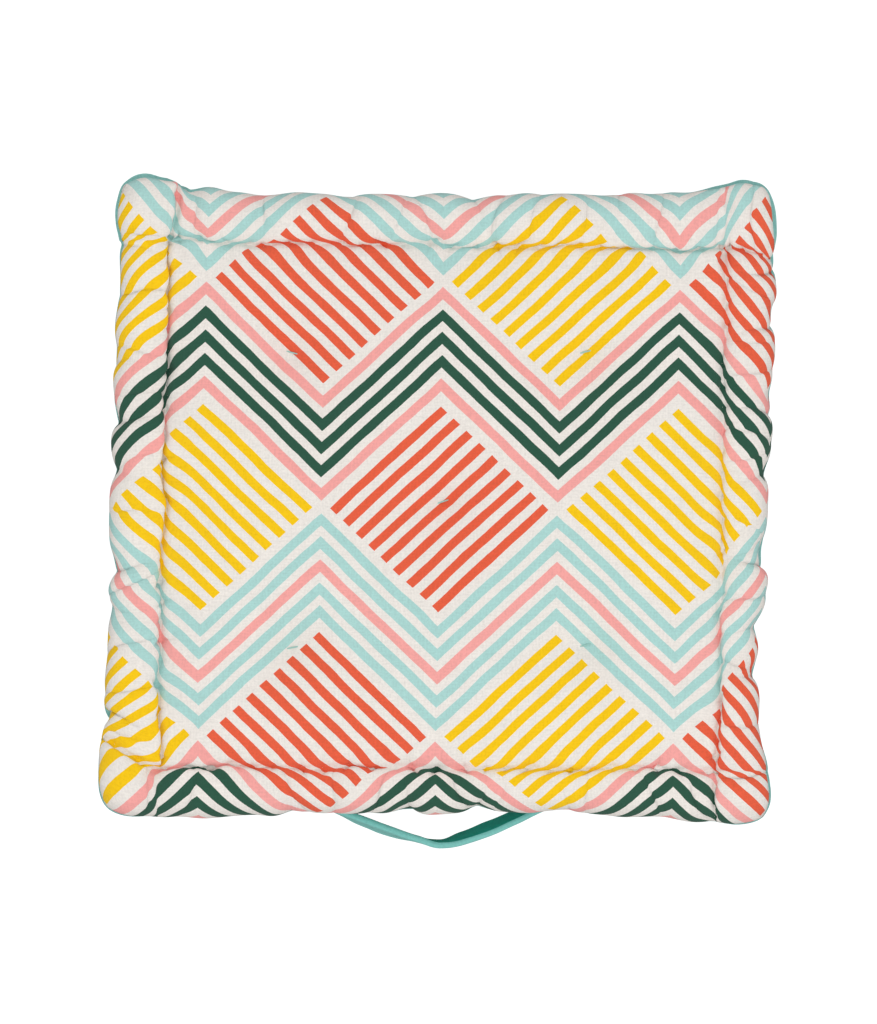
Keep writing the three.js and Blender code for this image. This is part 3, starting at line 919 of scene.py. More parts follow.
class Gathers:
    """The gathers and creases at each point of the cloth: how deep they press it, how far the
    stitch lines shift it, and the nearest gather along each of the two directions, as the distance
    from it, its pull, its depth and the pull of the next strongest."""

    def __init__(self, cover, place):
        self.depth = np.zeros(len(place))
        self.pull = np.zeros((len(place), 2))
        self.nearest = [np.tile([FAR, 0.0, 0.0, 0.0], (len(place), 1)) for _ in range(2)]
        half = cover.lines.cloth[-1]
        drop = place[:, 2]
        for number, line in enumerate(cover.stitch_lines):
            axis = 0 if line.across_x else 1
            own, along = place[:, axis], place[:, 1 - axis]
            on_side = own * line.outwards > half - NEAR_ZERO
            flat = on_side | (drop < NEAR_ZERO) | (drop > SIDE_CLOTH - NEAR_ZERO)
            for fall, seed, strength in ((drop, 0, 1.0), (SIDE_CLOTH - drop, LOWER_SEED, LOWER_STRENGTH)):
                away = own * line.outwards - FIELD_CLOTH / 2 + np.where(on_side, fall, 0.0)
                near = flat & (fall < UNDER_CLOTH + 1.0) & (away > -FIELD_REACH)
                self.add(np.nonzero(near)[0], line, number + seed, away, along, strength)
        for nearest in self.nearest:
            nearest[:, 1:3] *= (1.0 - nearest[:, 3] / np.maximum(nearest[:, 1], 1e-6))[:, None]

    def add(self, ids, line, seed, away, along, strength):
        """Adds the gathers of one stitch line to the points ids."""
        away, along = away[ids], along[ids]
        ahead = along * line.through_end
        half = FIELD_CLOTH / 2
        outer = half + ROLL_CLOTH
        ends = np.clip((outer - ahead) / END_FADE - 0.5, 0.0, 1.0)
        grip = bell(np.maximum(-ahead - half, 0.0), PAST_FADE) * mix(END_GRIP, 1.0, ends)
        beyond = np.clip((ahead - half) / BEYOND_FADE, 0.0, 1.0)
        inside = np.clip((ahead + half) / START_FADE, 0.0, 1.0)
        taken = LINE_TAKES[line.side] + smooth_noise(along, 0.0, LINE_TAKES_WAVE, seed)
        taken = taken * (1.0 - BEYOND_TAKES_LESS * beyond)
        rising = line.outwards * np.tanh(away / LINE_TAKES_RISE)
        axis = 0 if line.across_x else 1
        self.pull[ids, axis] += rising * np.exp(-np.abs(away) / LINE_TAKES_REACH) * taken * inside

        for mark, deep, lean, wide, middle, reach, takes in self.rows(line, seed, outer):
            near = np.abs(along - mark) < GATHER_SPAN
            out = away[near]
            gap = along[near] - mark - lean * out + SNAKE * np.sin(out / SNAKE_LENGTH + mark)
            weight = strength * bell(out - middle, reach) * grip[near]
            weight = weight * np.where(out < 0.0, FIELD_WEAKER, 1.0)
            self.depth[ids[near]] += deep * weight * cusp(gap, wide * (1.0 + WIDENING * np.abs(out)))
            tail = weight * np.exp(-np.abs(gap) / GATHER_TAIL)
            nearest = self.nearest[1 - axis]
            force = takes * tail * (1.0 - bell(out, GATHER_START))
            former = nearest[ids[near]]
            found = np.stack([gap, force, deep * tail, former[:, 1]], axis=1)
            former[:, 3] = np.maximum(former[:, 3], force)
            nearest[ids[near]] = np.where((force > former[:, 1])[:, None], found, former)

    def rows(self, line, seed, outer):
        """Columns: place, depth, lean, width, distance of its middle from the line, reach from
        there, cloth taken in. First the stitches' own gathers, then creases, then CREASES."""
        draw = np.random.default_rng(CREASE_SEED + seed)

        def draws(count, *spans):
            return [draw.uniform(*span, count) for span in spans]

        # The first and third are passed over, because each stitch has its own depth and reach
        _, wides, _, takes = draws(len(line.place), (1, 1), PUCKER_WIDE, (1, 1), PUCKER_TAKES)
        middles = np.full(len(line.place), PUCKER_MIDDLE)
        rows = list(zip(line.place, line.deep, line.lean, wides, middles, line.reach, takes))
        spots = -outer + np.cumsum(draw.uniform(*CREASE_GAP, CREASES_DRAWN))
        spots = spots[spots < outer]
        leans = draw.uniform(-CREASE_LEAN, CREASE_LEAN, len(spots))
        deeps, wides, reaches, takes = draws(
            len(spots), CREASE_DEEP, CREASE_WIDE, CREASE_REACH, CREASE_TAKES)
        rows += zip(spots, deeps, leans, wides, np.full(len(spots), CREASE_MIDDLE), reaches, takes)
        for side, at, deep, _, lean in CREASES:
            if side == line.side:
                taken = deep * (CORNER_TAKES if abs(at) > CORNER_NEAR else MIDDLE_TAKES)
                rows.append((at * FIELD_CLOTH / FIELD_SPAN, CORE_DEEP * deep, lean / ROLL_CLOTH,
                             CORE_WIDE, CORE_MIDDLE, CORE_REACH, taken))
        return rows


class Graph:
    """Short ways to add and link the nodes of one tree."""

    def __init__(self, tree):
        self.tree = tree

    def add(self, kind, inputs=(), **settings):
        node = self.tree.nodes.new(kind)
        for name, value in settings.items():
            setattr(node, name, value)
        for key, value in dict(inputs).items():
            self.feed(node.inputs[key], value)
        return node

    def feed(self, socket, value):
        if isinstance(value, bpy.types.NodeSocket):
            self.tree.links.new(value, socket)
        else:
            socket.default_value = value

    def math(self, operation, *values):
        return self.add("ShaderNodeMath", enumerate(values), operation=operation).outputs[0]

    def vector(self, operation, *values):
        return self.add("ShaderNodeVectorMath", enumerate(values), operation=operation).outputs[0]

    def scaled(self, vector, factor):
        node = self.add("ShaderNodeVectorMath", {0: vector, 3: factor}, operation="SCALE")
        return node.outputs[0]

    def blend(self, share, first, second, kind="MIX"):
        node = self.add("ShaderNodeMix", {0: share, 6: first, 7: second}, data_type="RGBA", blend_type=kind)
        return node.outputs[2]

    def tinted(self, colour, tone):
        """The colour multiplied by a tone round 1."""
        shade = self.add("ShaderNodeCombineXYZ", {0: tone, 1: tone, 2: tone}).outputs[0]
        return self.blend(1.0, colour, shade, "MULTIPLY")

    def attribute(self, name):
        return self.add("ShaderNodeAttribute", attribute_name=name).outputs["Vector"]

    def noise(self, vector, scale, detail=2.0, dimensions="3D"):
        inputs = {"Scale": scale, "Detail": detail}
        inputs["W" if dimensions == "1D" else "Vector"] = vector
        return self.add("ShaderNodeTexNoise", inputs, noise_dimensions=dimensions).outputs["Fac"]

    def ramp(self, share, stops):
        node = self.add("ShaderNodeValToRGB", {0: share})
        node.color_ramp.interpolation = "CONSTANT"
        elements = node.color_ramp.elements
        while len(elements) > 1:
            elements.remove(elements[-1])
        elements[0].position, elements[0].color = stops[0][0], opaque(stops[0][1])
        for place, colour in stops[1:]:
            elements.new(place).color = opaque(colour)
        return node.outputs[0]


def opaque(colour):
    return (*tuple(colour)[:3], 1.0)


def from_srgb(*levels):
    """Scene colour of three levels from 0 to 255, by the curve of sRGB."""
    return tuple(((level / 255 + 0.055) / 1.055) ** 2.4 if level > 10 else level / 255 / 12.92
                 for level in levels)


def node_group(name, kind, inputs, outputs):
    """A new group with the given sockets, and the graph, inputs and output node to build it with."""
    tree = bpy.data.node_groups.new(name, kind)
    for label, socket, value in inputs:
        entry = tree.interface.new_socket(name=label, in_out="INPUT", socket_type=socket)
        if value is not None:
            entry.default_value = value
    for label, socket in outputs:
        tree.interface.new_socket(name=label, in_out="OUTPUT", socket_type=socket)
    graph = Graph(tree)
    into = graph.add("NodeGroupInput")
    out = graph.add("NodeGroupOutput")
    return graph, into.outputs, out.inputs


# Print: a row of diamonds filled with bars, then a band of zigzag stripes, in turn. In millimetres,
# and waves a millimetre for the unsteadiness of its lines.
ZIGZAG = 72.0
STRIPE_PITCH = 15.1
STRIPE = 8.06
BAND = 5 * STRIPE_PITCH
PRINT_REPEAT = 2 * (ZIGZAG + BAND)
BAR_PITCH = 11.1
BARS_EACH_SIDE = 4
WOBBLE_SCALE = 0.35
DRIFT_SCALE = 0.022
DIAMOND_MARGIN = ZIGZAG - math.sqrt(2) * (BARS_EACH_SIDE + 0.25) * BAR_PITCH


def stripe_stops(ground, colours, start):
    stops = [(0.0, ground)]
    for k, colour in enumerate(colours):
        begin = start + k * STRIPE_PITCH + (STRIPE_PITCH - STRIPE) / 2
        stops += [(begin / PRINT_REPEAT, colour), ((begin + STRIPE) / PRINT_REPEAT, ground)]
    return stops


def print_group(inks):
    """Generic print of barred diamonds between bands of zigzag stripes."""
    graph, given, result = node_group(
        "diamond and zigzag print", "ShaderNodeTree",
        [("Cloth", "NodeSocketVector", None), ("Wobble", "NodeSocketFloat", 0.3),
         ("Drift", "NodeSocketFloat", 3.0)],
        [("Color", "NodeSocketColor")])
    shifted = given["Cloth"]
    for scale, reach in ((WOBBLE_SCALE, given["Wobble"]), (DRIFT_SCALE, given["Drift"])):
        noise = graph.add("ShaderNodeTexNoise", {"Vector": given["Cloth"], "Scale": scale, "Detail": 2.0})
        shifted = graph.vector("ADD", shifted, graph.scaled(noise.outputs["Color"], reach))
    place = graph.add("ShaderNodeSeparateXYZ", {0: shifted})
    x, y = place.outputs[0], place.outputs[1]
    tooth = graph.math("PINGPONG", x, ZIGZAG)
    rise = graph.math("SUBTRACT", ZIGZAG, tooth)
    under = graph.math("FRACT", graph.math("DIVIDE", graph.math("SUBTRACT", y, rise), PRINT_REPEAT))
    over = graph.math("FRACT", graph.math("DIVIDE", graph.math("ADD", y, rise), PRINT_REPEAT))
    first = [inks.soft, inks.dark, inks.dark, inks.dark, inks.soft]
    second = [inks.pale, inks.pale, inks.soft, inks.pale, inks.pale]
    first_band = graph.ramp(under, stripe_stops(inks.ground, first, 0.0))
    second_band = graph.ramp(over, stripe_stops(inks.ground, second, PRINT_REPEAT - BAND))
    in_second = graph.math("GREATER_THAN", over, 1.0 - BAND / PRINT_REPEAT)
    bands = graph.blend(in_second, first_band, second_band)

    def diamonds(row, reach, one, other):
        level = graph.math("SUBTRACT", y, row * PRINT_REPEAT / 2)
        level = graph.math("WRAP", level, PRINT_REPEAT / 2, -PRINT_REPEAT / 2)
        room = graph.math("SUBTRACT", reach, graph.math("ABSOLUTE", level))
        inside = graph.math("GREATER_THAN", room, DIAMOND_MARGIN)
        column = graph.math("FRACT", graph.math("MULTIPLY_ADD", x, 0.25 / ZIGZAG, 0.25 * (1 - row)))
        second = graph.math("GREATER_THAN", column, 0.5)
        slant = graph.math("MULTIPLY_ADD", second, 2.0, -1.0)
        from_middle = graph.math("WRAP", graph.math("ADD", x, row * ZIGZAG), ZIGZAG, -ZIGZAG)
        run = graph.math("MULTIPLY_ADD", from_middle, slant, level)
        bar = graph.math("FRACT", graph.math("MULTIPLY_ADD", run, math.sqrt(0.5) / BAR_PITCH, 0.25))
        mask = graph.math("MULTIPLY", inside, graph.math("LESS_THAN", bar, 0.5))
        return mask, graph.blend(second, opaque(one), opaque(other))

    mask, colour = diamonds(0, rise, inks.warm, inks.bright)
    bands = graph.blend(mask, bands, colour)
    mask, colour = diamonds(1, tooth, inks.bright, inks.warm)
    graph.feed(result["Color"], graph.blend(mask, bands, colour))
    return graph.tree


# Yarns: how much the slubs are stretched along them and shrunk across them, in waves a millimetre,
# the part of the slubs in the height, and the flecks and grain of the tone
SLUB_ALONG = 0.11
SLUB_ACROSS = 0.95
SLUB_HEIGHT = 0.7
FLECK = 0.05
GRAIN_SCALE = 0.75


def weave_group():
    """Plain weave with uneven yarns: a height, and a tone that varies round 1."""
    graph, given, result = node_group(
        "plain weave", "ShaderNodeTree",
        [("Cloth", "NodeSocketVector", None), ("Yarn pitch", "NodeSocketFloat", 0.6),
         ("Slub", "NodeSocketFloat", 0.2), ("Grain", "NodeSocketFloat", 0.3)],
        [("Height", "NodeSocketFloat"), ("Tone", "NodeSocketFloat")])
    place = graph.add("ShaderNodeSeparateXYZ", {0: given["Cloth"]})
    waves = []
    slubs = []
    for run, other in ((0, 1), (1, 0)):
        turn = graph.math("DIVIDE", graph.math("MULTIPLY", place.outputs[run], 2 * PI), given["Yarn pitch"])
        waves.append(graph.math("SINE", turn))
        stretched = graph.add("ShaderNodeCombineXYZ", {
            run: graph.math("MULTIPLY", place.outputs[run], SLUB_ALONG),
            other: graph.math("MULTIPLY", place.outputs[other], SLUB_ACROSS)})
        slubs.append(graph.noise(stretched.outputs[0], 1.0, 3.0))
    yarn = graph.math("MULTIPLY_ADD", graph.math("MULTIPLY", *waves), 0.5, 0.5)
    slub = graph.math("SUBTRACT", graph.math("ADD", *slubs), 1.0)
    graph.feed(result["Height"], graph.math("MULTIPLY_ADD", slub, SLUB_HEIGHT, yarn))
    fleck = graph.math("MULTIPLY", graph.math("SUBTRACT", yarn, 0.5), FLECK)
    grain = graph.math("SUBTRACT", graph.noise(given["Cloth"], GRAIN_SCALE, 3.0), 0.5)
    grain = graph.math("MULTIPLY_ADD", grain, given["Grain"], fleck)
    tone = graph.math("MULTIPLY_ADD", slub, given["Slub"], 1.0)
    graph.feed(result["Tone"], graph.math("ADD", tone, grain))
    return graph.tree


# Seams: steepness of the groove and of the fade of its gathers, and gathers a millimetre
SEAM_STEEP = 0.6
SEAM_FADE = 0.22
SEAM_GATHERS = 0.28


def seam_group():
    """Height of a seam and of the fine gathers beside it."""
    graph, given, result = node_group(
        "seam gathers", "ShaderNodeTree",
        [("From seam", "NodeSocketFloat", None), ("Along", "NodeSocketFloat", None),
         ("Gather", "NodeSocketFloat", 1.0)],
        [("Height", "NodeSocketFloat")])
    away = given["From seam"]
    square = graph.math("MULTIPLY", away, away)
    groove = graph.math("EXPONENT", graph.math("MULTIPLY", square, -SEAM_STEEP))
    fade = graph.math("EXPONENT", graph.math("MULTIPLY", away, -SEAM_FADE))
    ripple = graph.math("SUBTRACT", graph.noise(given["Along"], SEAM_GATHERS, 1.0, "1D"), 0.5)
    ripple = graph.math("MULTIPLY", graph.math("MULTIPLY", ripple, fade), given["Gather"])
    graph.feed(result["Height"], graph.math("MULTIPLY_ADD", groove, -1.0, ripple))
    return graph.tree


def gather_group():
    """Sharp cores of the gathers: how far they shift the print, and their height. Each gather
    comes as the distance from it, the cloth that it takes in and its depth."""
    graph, given, result = node_group(
        "gathers", "ShaderNodeTree",
        [("Gather x", "NodeSocketVector", None), ("Gather y", "NodeSocketVector", None),
         ("Sharpness", "NodeSocketFloat", 1.1)],
        [("Shift", "NodeSocketVector"), ("Height", "NodeSocketFloat")])
    shifts, heights = [], []
    for name in ("Gather x", "Gather y"):
        gap, takes, deep = graph.add("ShaderNodeSeparateXYZ", {0: given[name]}).outputs
        turn = graph.math("TANH", graph.math("MULTIPLY", gap, given["Sharpness"]))
        shifts.append(graph.math("MULTIPLY", turn, takes))
        core = graph.math("EXPONENT", graph.math("MULTIPLY", graph.math("ABSOLUTE", gap), -1.0))
        heights.append(graph.math("MULTIPLY", core, deep))
    graph.feed(result["Shift"], graph.add("ShaderNodeCombineXYZ", {0: shifts[0], 1: shifts[1]}).outputs[0])
    graph.feed(result["Height"], graph.math("MULTIPLY", graph.math("ADD", *heights), -1.0))
    return graph.tree


# Cotton: fading and its scale, roughness lost on the yarns, sheen, gloss, and heights of the bumps
FADING = 0.08
FADING_SCALE = 0.045
YARN_SHINE = 0.06
SHEEN = 0.08
SHEEN_ROUGHNESS = 0.6
COTTON_ROUGHNESS = 0.88
COTTON_GLOSS = 0.25
GATHER_HEIGHT = 1.2
PUCKER_BUMP = 0.4
WEAVE_BUMP = 0.12
WEAVE_BUMP_SHARE = 0.6


def new_material(name):
    """A new material, with the graph and the shader to build it with."""
    material = bpy.data.materials.new(name)
    material.use_nodes = True
    return material, Graph(material.node_tree), material.node_tree.nodes["Principled BSDF"]


def cotton_material(name, groups, pitch, colour=None):
    """Matte cotton: plain colour, or the print where there is none, weave, and gathers at the seams."""
    material, graph, shader = new_material(name)
    flat = graph.add("ShaderNodeUVMap", uv_map="cloth").outputs[0]
    cloth = graph.vector("MULTIPLY", flat, (1 / MM, 1 / MM, 1.0))
    weave = graph.add("ShaderNodeGroup", {"Cloth": cloth, "Yarn pitch": pitch}, node_tree=groups["weave"])
    gathers = graph.add("ShaderNodeGroup", node_tree=groups["gathers"])
    for label in ("Gather x", "Gather y"):
        graph.feed(gathers.inputs[label], graph.attribute(label.lower()))
    if colour is None:
        pattern = graph.add("ShaderNodeGroup", node_tree=groups["print"])
        graph.feed(pattern.inputs["Cloth"], graph.vector("ADD", cloth, gathers.outputs["Shift"]))
        base = pattern.outputs["Color"]
    else:
        base = opaque(colour)
    faded = graph.math("MULTIPLY_ADD", graph.noise(cloth, FADING_SCALE, 3.0), FADING, 1.0 - FADING / 2)
    tone = graph.math("MULTIPLY", weave.outputs["Tone"], faded)
    graph.feed(shader.inputs["Base Color"], graph.tinted(base, tone))
    rough = graph.math("MULTIPLY_ADD", weave.outputs["Height"], -YARN_SHINE, COTTON_ROUGHNESS)
    graph.feed(shader.inputs["Roughness"], rough)
    shader.inputs["Sheen Weight"].default_value = SHEEN
    shader.inputs["Sheen Roughness"].default_value = SHEEN_ROUGHNESS
    shader.inputs["Specular IOR Level"].default_value = COTTON_GLOSS

    seam = graph.add("ShaderNodeGroup", node_tree=groups["seam"])
    marks = graph.add("ShaderNodeSeparateXYZ", {0: graph.attribute("seam")})
    graph.feed(seam.inputs["From seam"], marks.outputs[0])
    graph.feed(seam.inputs["Along"], marks.outputs[1])
    height = graph.math("MULTIPLY_ADD", gathers.outputs["Height"], GATHER_HEIGHT, seam.outputs["Height"])
    puckers = graph.add("ShaderNodeBump", {
        "Strength": 1.0, "Distance": PUCKER_BUMP * MM, "Height": height})
    bump = graph.add("ShaderNodeBump", {
        "Strength": WEAVE_BUMP_SHARE, "Distance": WEAVE_BUMP * MM, "Height": weave.outputs["Height"],
        "Normal": puckers.outputs[0]})
    graph.feed(shader.inputs["Normal"], bump.outputs[0])
    return material


# Thread: strands a metre, how much their tone varies, roughness, height and share of the bump
STRANDS = 2600.0
STRAND_TONE = 0.3
THREAD_ROUGHNESS = 0.75
THREAD_BUMP = 0.1
THREAD_BUMP_SHARE = 0.6


def thread_material(name, colour):
    """Twisted cotton thread, in Object coordinates."""
    material, graph, shader = new_material(name)
    place = graph.add("ShaderNodeTexCoord").outputs["Object"]
    twist = graph.noise(place, STRANDS, 1.0)
    tone = graph.math("MULTIPLY_ADD", twist, STRAND_TONE, 1.0 - STRAND_TONE / 2)
    graph.feed(shader.inputs["Base Color"], graph.tinted(opaque(colour), tone))
    shader.inputs["Roughness"].default_value = THREAD_ROUGHNESS
    bump = graph.add("ShaderNodeBump", {
        "Strength": THREAD_BUMP_SHARE, "Distance": THREAD_BUMP * MM, "Height": twist})
    graph.feed(shader.inputs["Normal"], bump.outputs[0])
    return material


# Stitches: points along one, sides of its thread, and its thickness at the ends as a share
STITCH_POINTS = 7
STITCH_SIDES = 7
STITCH_ENDS = 0.55


def stitch_tree():
    """Turns each edge of a mesh into one stitch of thread, arched outwards."""
    graph, given, result = node_group(
        "thread stitches", "GeometryNodeTree",
        [("Geometry", "NodeSocketGeometry", None), ("Thread radius", "NodeSocketFloat", 0.0005),
         ("Arch", "NodeSocketFloat", 0.0004), ("Material", "NodeSocketMaterial", None)],
        [("Geometry", "NodeSocketGeometry")])
    curves = graph.add("GeometryNodeMeshToCurve", {"Mesh": given["Geometry"]}).outputs[0]
    spaced = graph.add("GeometryNodeResampleCurve", {"Curve": curves, "Count": STITCH_POINTS}).outputs[0]
    along = graph.add("GeometryNodeSplineParameter").outputs["Factor"]
    hump = graph.math("SINE", graph.math("MULTIPLY", along, PI))
    out = graph.add("GeometryNodeInputNamedAttribute", {"Name": "out"}, data_type="FLOAT_VECTOR").outputs[0]
    lift = graph.scaled(out, graph.math("MULTIPLY", hump, given["Arch"]))
    arched = graph.add("GeometryNodeSetPosition", {"Geometry": spaced, "Offset": lift}).outputs[0]
    taper = graph.math("MULTIPLY_ADD", graph.math("POWER", hump, 0.5), 1.0 - STITCH_ENDS, STITCH_ENDS)
    ring = graph.add("GeometryNodeCurvePrimitiveCircle", {
        "Resolution": STITCH_SIDES, "Radius": given["Thread radius"]}).outputs[0]
    solid = graph.add("GeometryNodeCurveToMesh", {
        "Curve": arched, "Profile Curve": ring, "Scale": taper, "Fill Caps": True}).outputs[0]
    smooth = graph.add("GeometryNodeSetShadeSmooth", {"Geometry": solid}).outputs[0]
    real = graph.add("GeometryNodeRealizeInstances", {"Geometry": smooth}).outputs[0]
    coated = graph.add("GeometryNodeSetMaterial", {
        "Geometry": real, "Material": given["Material"]}).outputs[0]
    graph.feed(result["Geometry"], coated)
    return graph.tree


# Things that one operator makes and a later one needs
made = {}


def make_stitches(name, rows, thread, radius, arch):
    """One mesh of stitches. Each of the rows has their starts, ends and outward directions, in
    millimetres."""
    starts, ends, outs = (np.concatenate(part).astype(float) for part in zip(*rows))
    points = np.stack([starts, ends], axis=1).reshape(-1, 3) * MM
    mesh = bpy.data.meshes.new(name)
    mesh.vertices.add(len(points))
    mesh.vertices.foreach_set("co", points.astype(np.float32).ravel())
    mesh.edges.add(len(starts))
    mesh.edges.foreach_set("vertices", np.arange(len(points), dtype=np.int32))
    add_vectors(mesh, "out", np.repeat(outs, 2, axis=0))
    holder = link_mesh(name + " path", mesh)
    tree = made["stitch tree"]
    modifier = holder.modifiers.new("Stitches", "NODES")
    modifier.node_group = tree
    values = {"Thread radius": radius * MM, "Arch": arch * MM, "Material": thread}
    for item in tree.interface.items_tree:
        if item.name in values and item.in_out == "INPUT":
            modifier[item.identifier] = values[item.name]
    return link_mesh(name, plain_mesh(holder))


def amount(name, description, default, least, **more):
    return bpy.props.FloatProperty(name=name, description=description, default=default, min=least, **more)


def whole_number(name, description, default, least):
    return bpy.props.IntProperty(name=name, description=description, default=default, min=least)


def tint(name, description, *srgb):
    return bpy.props.FloatVectorProperty(
        name=name, description=description, default=from_srgb(*srgb), size=3, subtype="COLOR",
        min=0.0, max=1.0)


class ChairPadStage(bpy.types.PropertyGroup):
    camera_rise: amount(
        "Camera rise", "Height of the camera above the picture plane", 2.5, 0.5, unit="LENGTH")
    picture_level: amount(
        "Picture level", "Height of the plane that the framing is measured in", 0.07, 0.0, unit="LENGTH")
    picture_length: amount(
        "Picture length", "Length that the picture's height takes in", 0.6144, 0.1, unit="LENGTH")
    floor_colour: bpy.props.FloatVectorProperty(
        name="Floor colour", description="Colour of the floor", default=(0.25, 0.25, 0.25), size=3,
        subtype="COLOR", min=0.0, max=1.0)
    floor_glow: amount(
        "Floor glow", "White that the floor adds in the picture without lighting the pad", 0.93, 0.0)
    sky: amount("Surround light", "Strength of the even light from all round", 0.79, 0.0)
    key: amount("Soft box", "Power of the soft box that hangs above the pad", 13.5, 0.0, unit="POWER")


class ChairPadCover(bpy.types.PropertyGroup):
    pressure: amount("Filling pressure", "Pressure of the filling on the cloth", 90.0, 0.0)
    frames: whole_number("Cloth frames", "Frames that the cloth is given to settle in", 20, 2)
    steps: whole_number("Cloth steps", "Steps that the cloth is worked out in for each frame", 5, 1)
    cap: amount(
        "Furthest move", "Distance that the filling may move a point of the cloth", 0.008, 0.0,
        unit="LENGTH")
    yarn: amount("Yarn pitch", "Distance from yarn to yarn of the weave in millimetres", 0.6, 0.1)
    side_colour: tint("Side colour", "Colour of the plain side and back cloth", 150, 220, 212)


class ChairPadPrint(bpy.types.PropertyGroup):
    ground: tint("Ground", "Unprinted cotton", 243, 237, 230)
    dark: tint("Dark ink", "Ink of the dark zigzags", 40, 87, 68)
    warm: tint("Warm ink", "Ink of the warm bars", 238, 97, 64)
    soft: tint("Soft ink", "Ink of the single zigzags", 252, 171, 166)
    bright: tint("Bright ink", "Ink of the bright bars", 255, 206, 0)
    pale: tint("Pale ink", "Ink of the pale zigzags", 176, 220, 215)


class ChairPadThread(bpy.types.PropertyGroup):
    edge_radius: amount("Edge thread", "Radius of the thread of the rolled edges in millimetres", 0.25, 0.1)
    tuft_radius: amount("Tuft thread", "Radius of the twine of the tufts in millimetres", 0.45, 0.1)
    tuft_length: amount("Tuft stitch", "Length of the stitch in a tuft in millimetres", 9.0, 1.0)
    edge_colour: tint("Edge thread colour", "Colour of the rolled edges' thread", 226, 222, 212)
    tuft_colour: tint("Tuft thread colour", "Colour of the tufts' twine", 160, 206, 197)


class ChairPadStrap(bpy.types.PropertyGroup):
    height: amount("Strap width", "Width of the folded strap in millimetres", 18.0, 5.0)
    thickness: amount("Strap thickness", "Thickness of the folded strap in millimetres", 4.2, 1.0)
    outer_colour: tint("Outer colour", "Colour of the strap's outer face", 130, 203, 195)
    # Painted shade: the inner colour is a darker copy of the strap's teal for the face turned to the pad,
    # where the pad shades it
    inner_shade_colour: tint("Inner shade colour", "Darker teal painted on the strap's inner face as its shade", 0, 160, 140)


# Stage, in metres and radians
CAMERA_AT = (0.0003, -0.0007)
FLOOR_SIZE = 12.0
FLOOR_CLOUDS = 0.02
FLOOR_CLOUD_SCALE = 3.0
FLOOR_ROUGHNESS = 0.95
FLOOR_GLOSS = 0.1
BOX_SIZE = 1.4
BOX_AT = (0.3, -0.75, 2.6)
BOX_TURN = (0.29, 0.12, 0.0)


class CHAIRPAD_OT_stage(bpy.types.Operator):
    """Places the camera above the pad, the floor and the soft light"""
    bl_idname = "chairpad.stage"
    bl_label = "Camera, floor and light"

    def execute(self, context):
        settings = context.scene.chair_pad_stage
        scene = context.scene
        data = bpy.data.cameras.new("camera")
        data.lens = data.sensor_width * settings.camera_rise / settings.picture_length
        camera = bpy.data.objects.new("camera", data)
        camera.location = (*CAMERA_AT, settings.picture_level + settings.camera_rise)
        scene.collection.objects.link(camera)
        scene.camera = camera

        bpy.ops.mesh.primitive_grid_add(x_subdivisions=2, y_subdivisions=2, size=FLOOR_SIZE)
        floor = context.object
        floor.name = "floor"
        floor.data.transform(floor.matrix_world)
        material, graph, shader = new_material("floor paint")
        place = graph.add("ShaderNodeTexCoord").outputs["Object"]
        clouds = graph.noise(place, FLOOR_CLOUD_SCALE)
        cloudy = graph.math("MULTIPLY_ADD", clouds, FLOOR_CLOUDS, 1.0 - FLOOR_CLOUDS / 2)
        graph.feed(shader.inputs["Base Color"], graph.tinted(opaque(settings.floor_colour), cloudy))
        shader.inputs["Roughness"].default_value = FLOOR_ROUGHNESS
        shader.inputs["Specular IOR Level"].default_value = FLOOR_GLOSS
        seen = graph.add("ShaderNodeLightPath").outputs["Is Camera Ray"]
        graph.feed(shader.inputs["Emission Color"], seen)
        shader.inputs["Emission Strength"].default_value = settings.floor_glow
        floor.data.materials.append(material)

        world = bpy.data.worlds.new("studio")
        world.use_nodes = True
        sky = world.node_tree.nodes["Background"]
        sky.inputs["Color"].default_value = (1.0, 1.0, 1.0, 1.0)
        sky.inputs["Strength"].default_value = settings.sky
        scene.world = world
        scene.view_settings.view_transform = "Standard"

        lamp = bpy.data.lights.new("soft box", "AREA")
        lamp.shape = "SQUARE"
        lamp.size = BOX_SIZE
        lamp.energy = settings.key
        box = bpy.data.objects.new("soft box", lamp)
        box.location = BOX_AT
        box.rotation_euler = BOX_TURN
        scene.collection.objects.link(box)
        return {"FINISHED"}


def crumple(mesh, cover):
    """Presses the gathers and creases into the finer cover and shifts the cloth along with them."""
    gathers = Gathers(cover, read_vectors(mesh.attributes["place"].data))
    normals = read_vectors(mesh.vertex_normals)
    points = read_vectors(mesh.vertices, "co") - normals * gathers.depth[:, None] * MM
    points[:, 2] = np.maximum(points[:, 2], 0.0)
    mesh.vertices.foreach_set("co", points.astype(np.float32).ravel())
    loops = corner_vertices(mesh)
    flat = np.empty(len(loops) * 2, np.float32)
    layer = mesh.uv_layers["cloth"]
    layer.data.foreach_get("uv", flat)
    flat = flat.reshape(-1, 2) + gathers.pull[loops] * MM
    layer.data.foreach_set("uv", flat.astype(np.float32).ravel())
    for name, nearest in zip(("gather x", "gather y"), gathers.nearest):
        add_vectors(mesh, name, nearest[:, :3])
    mesh.update()


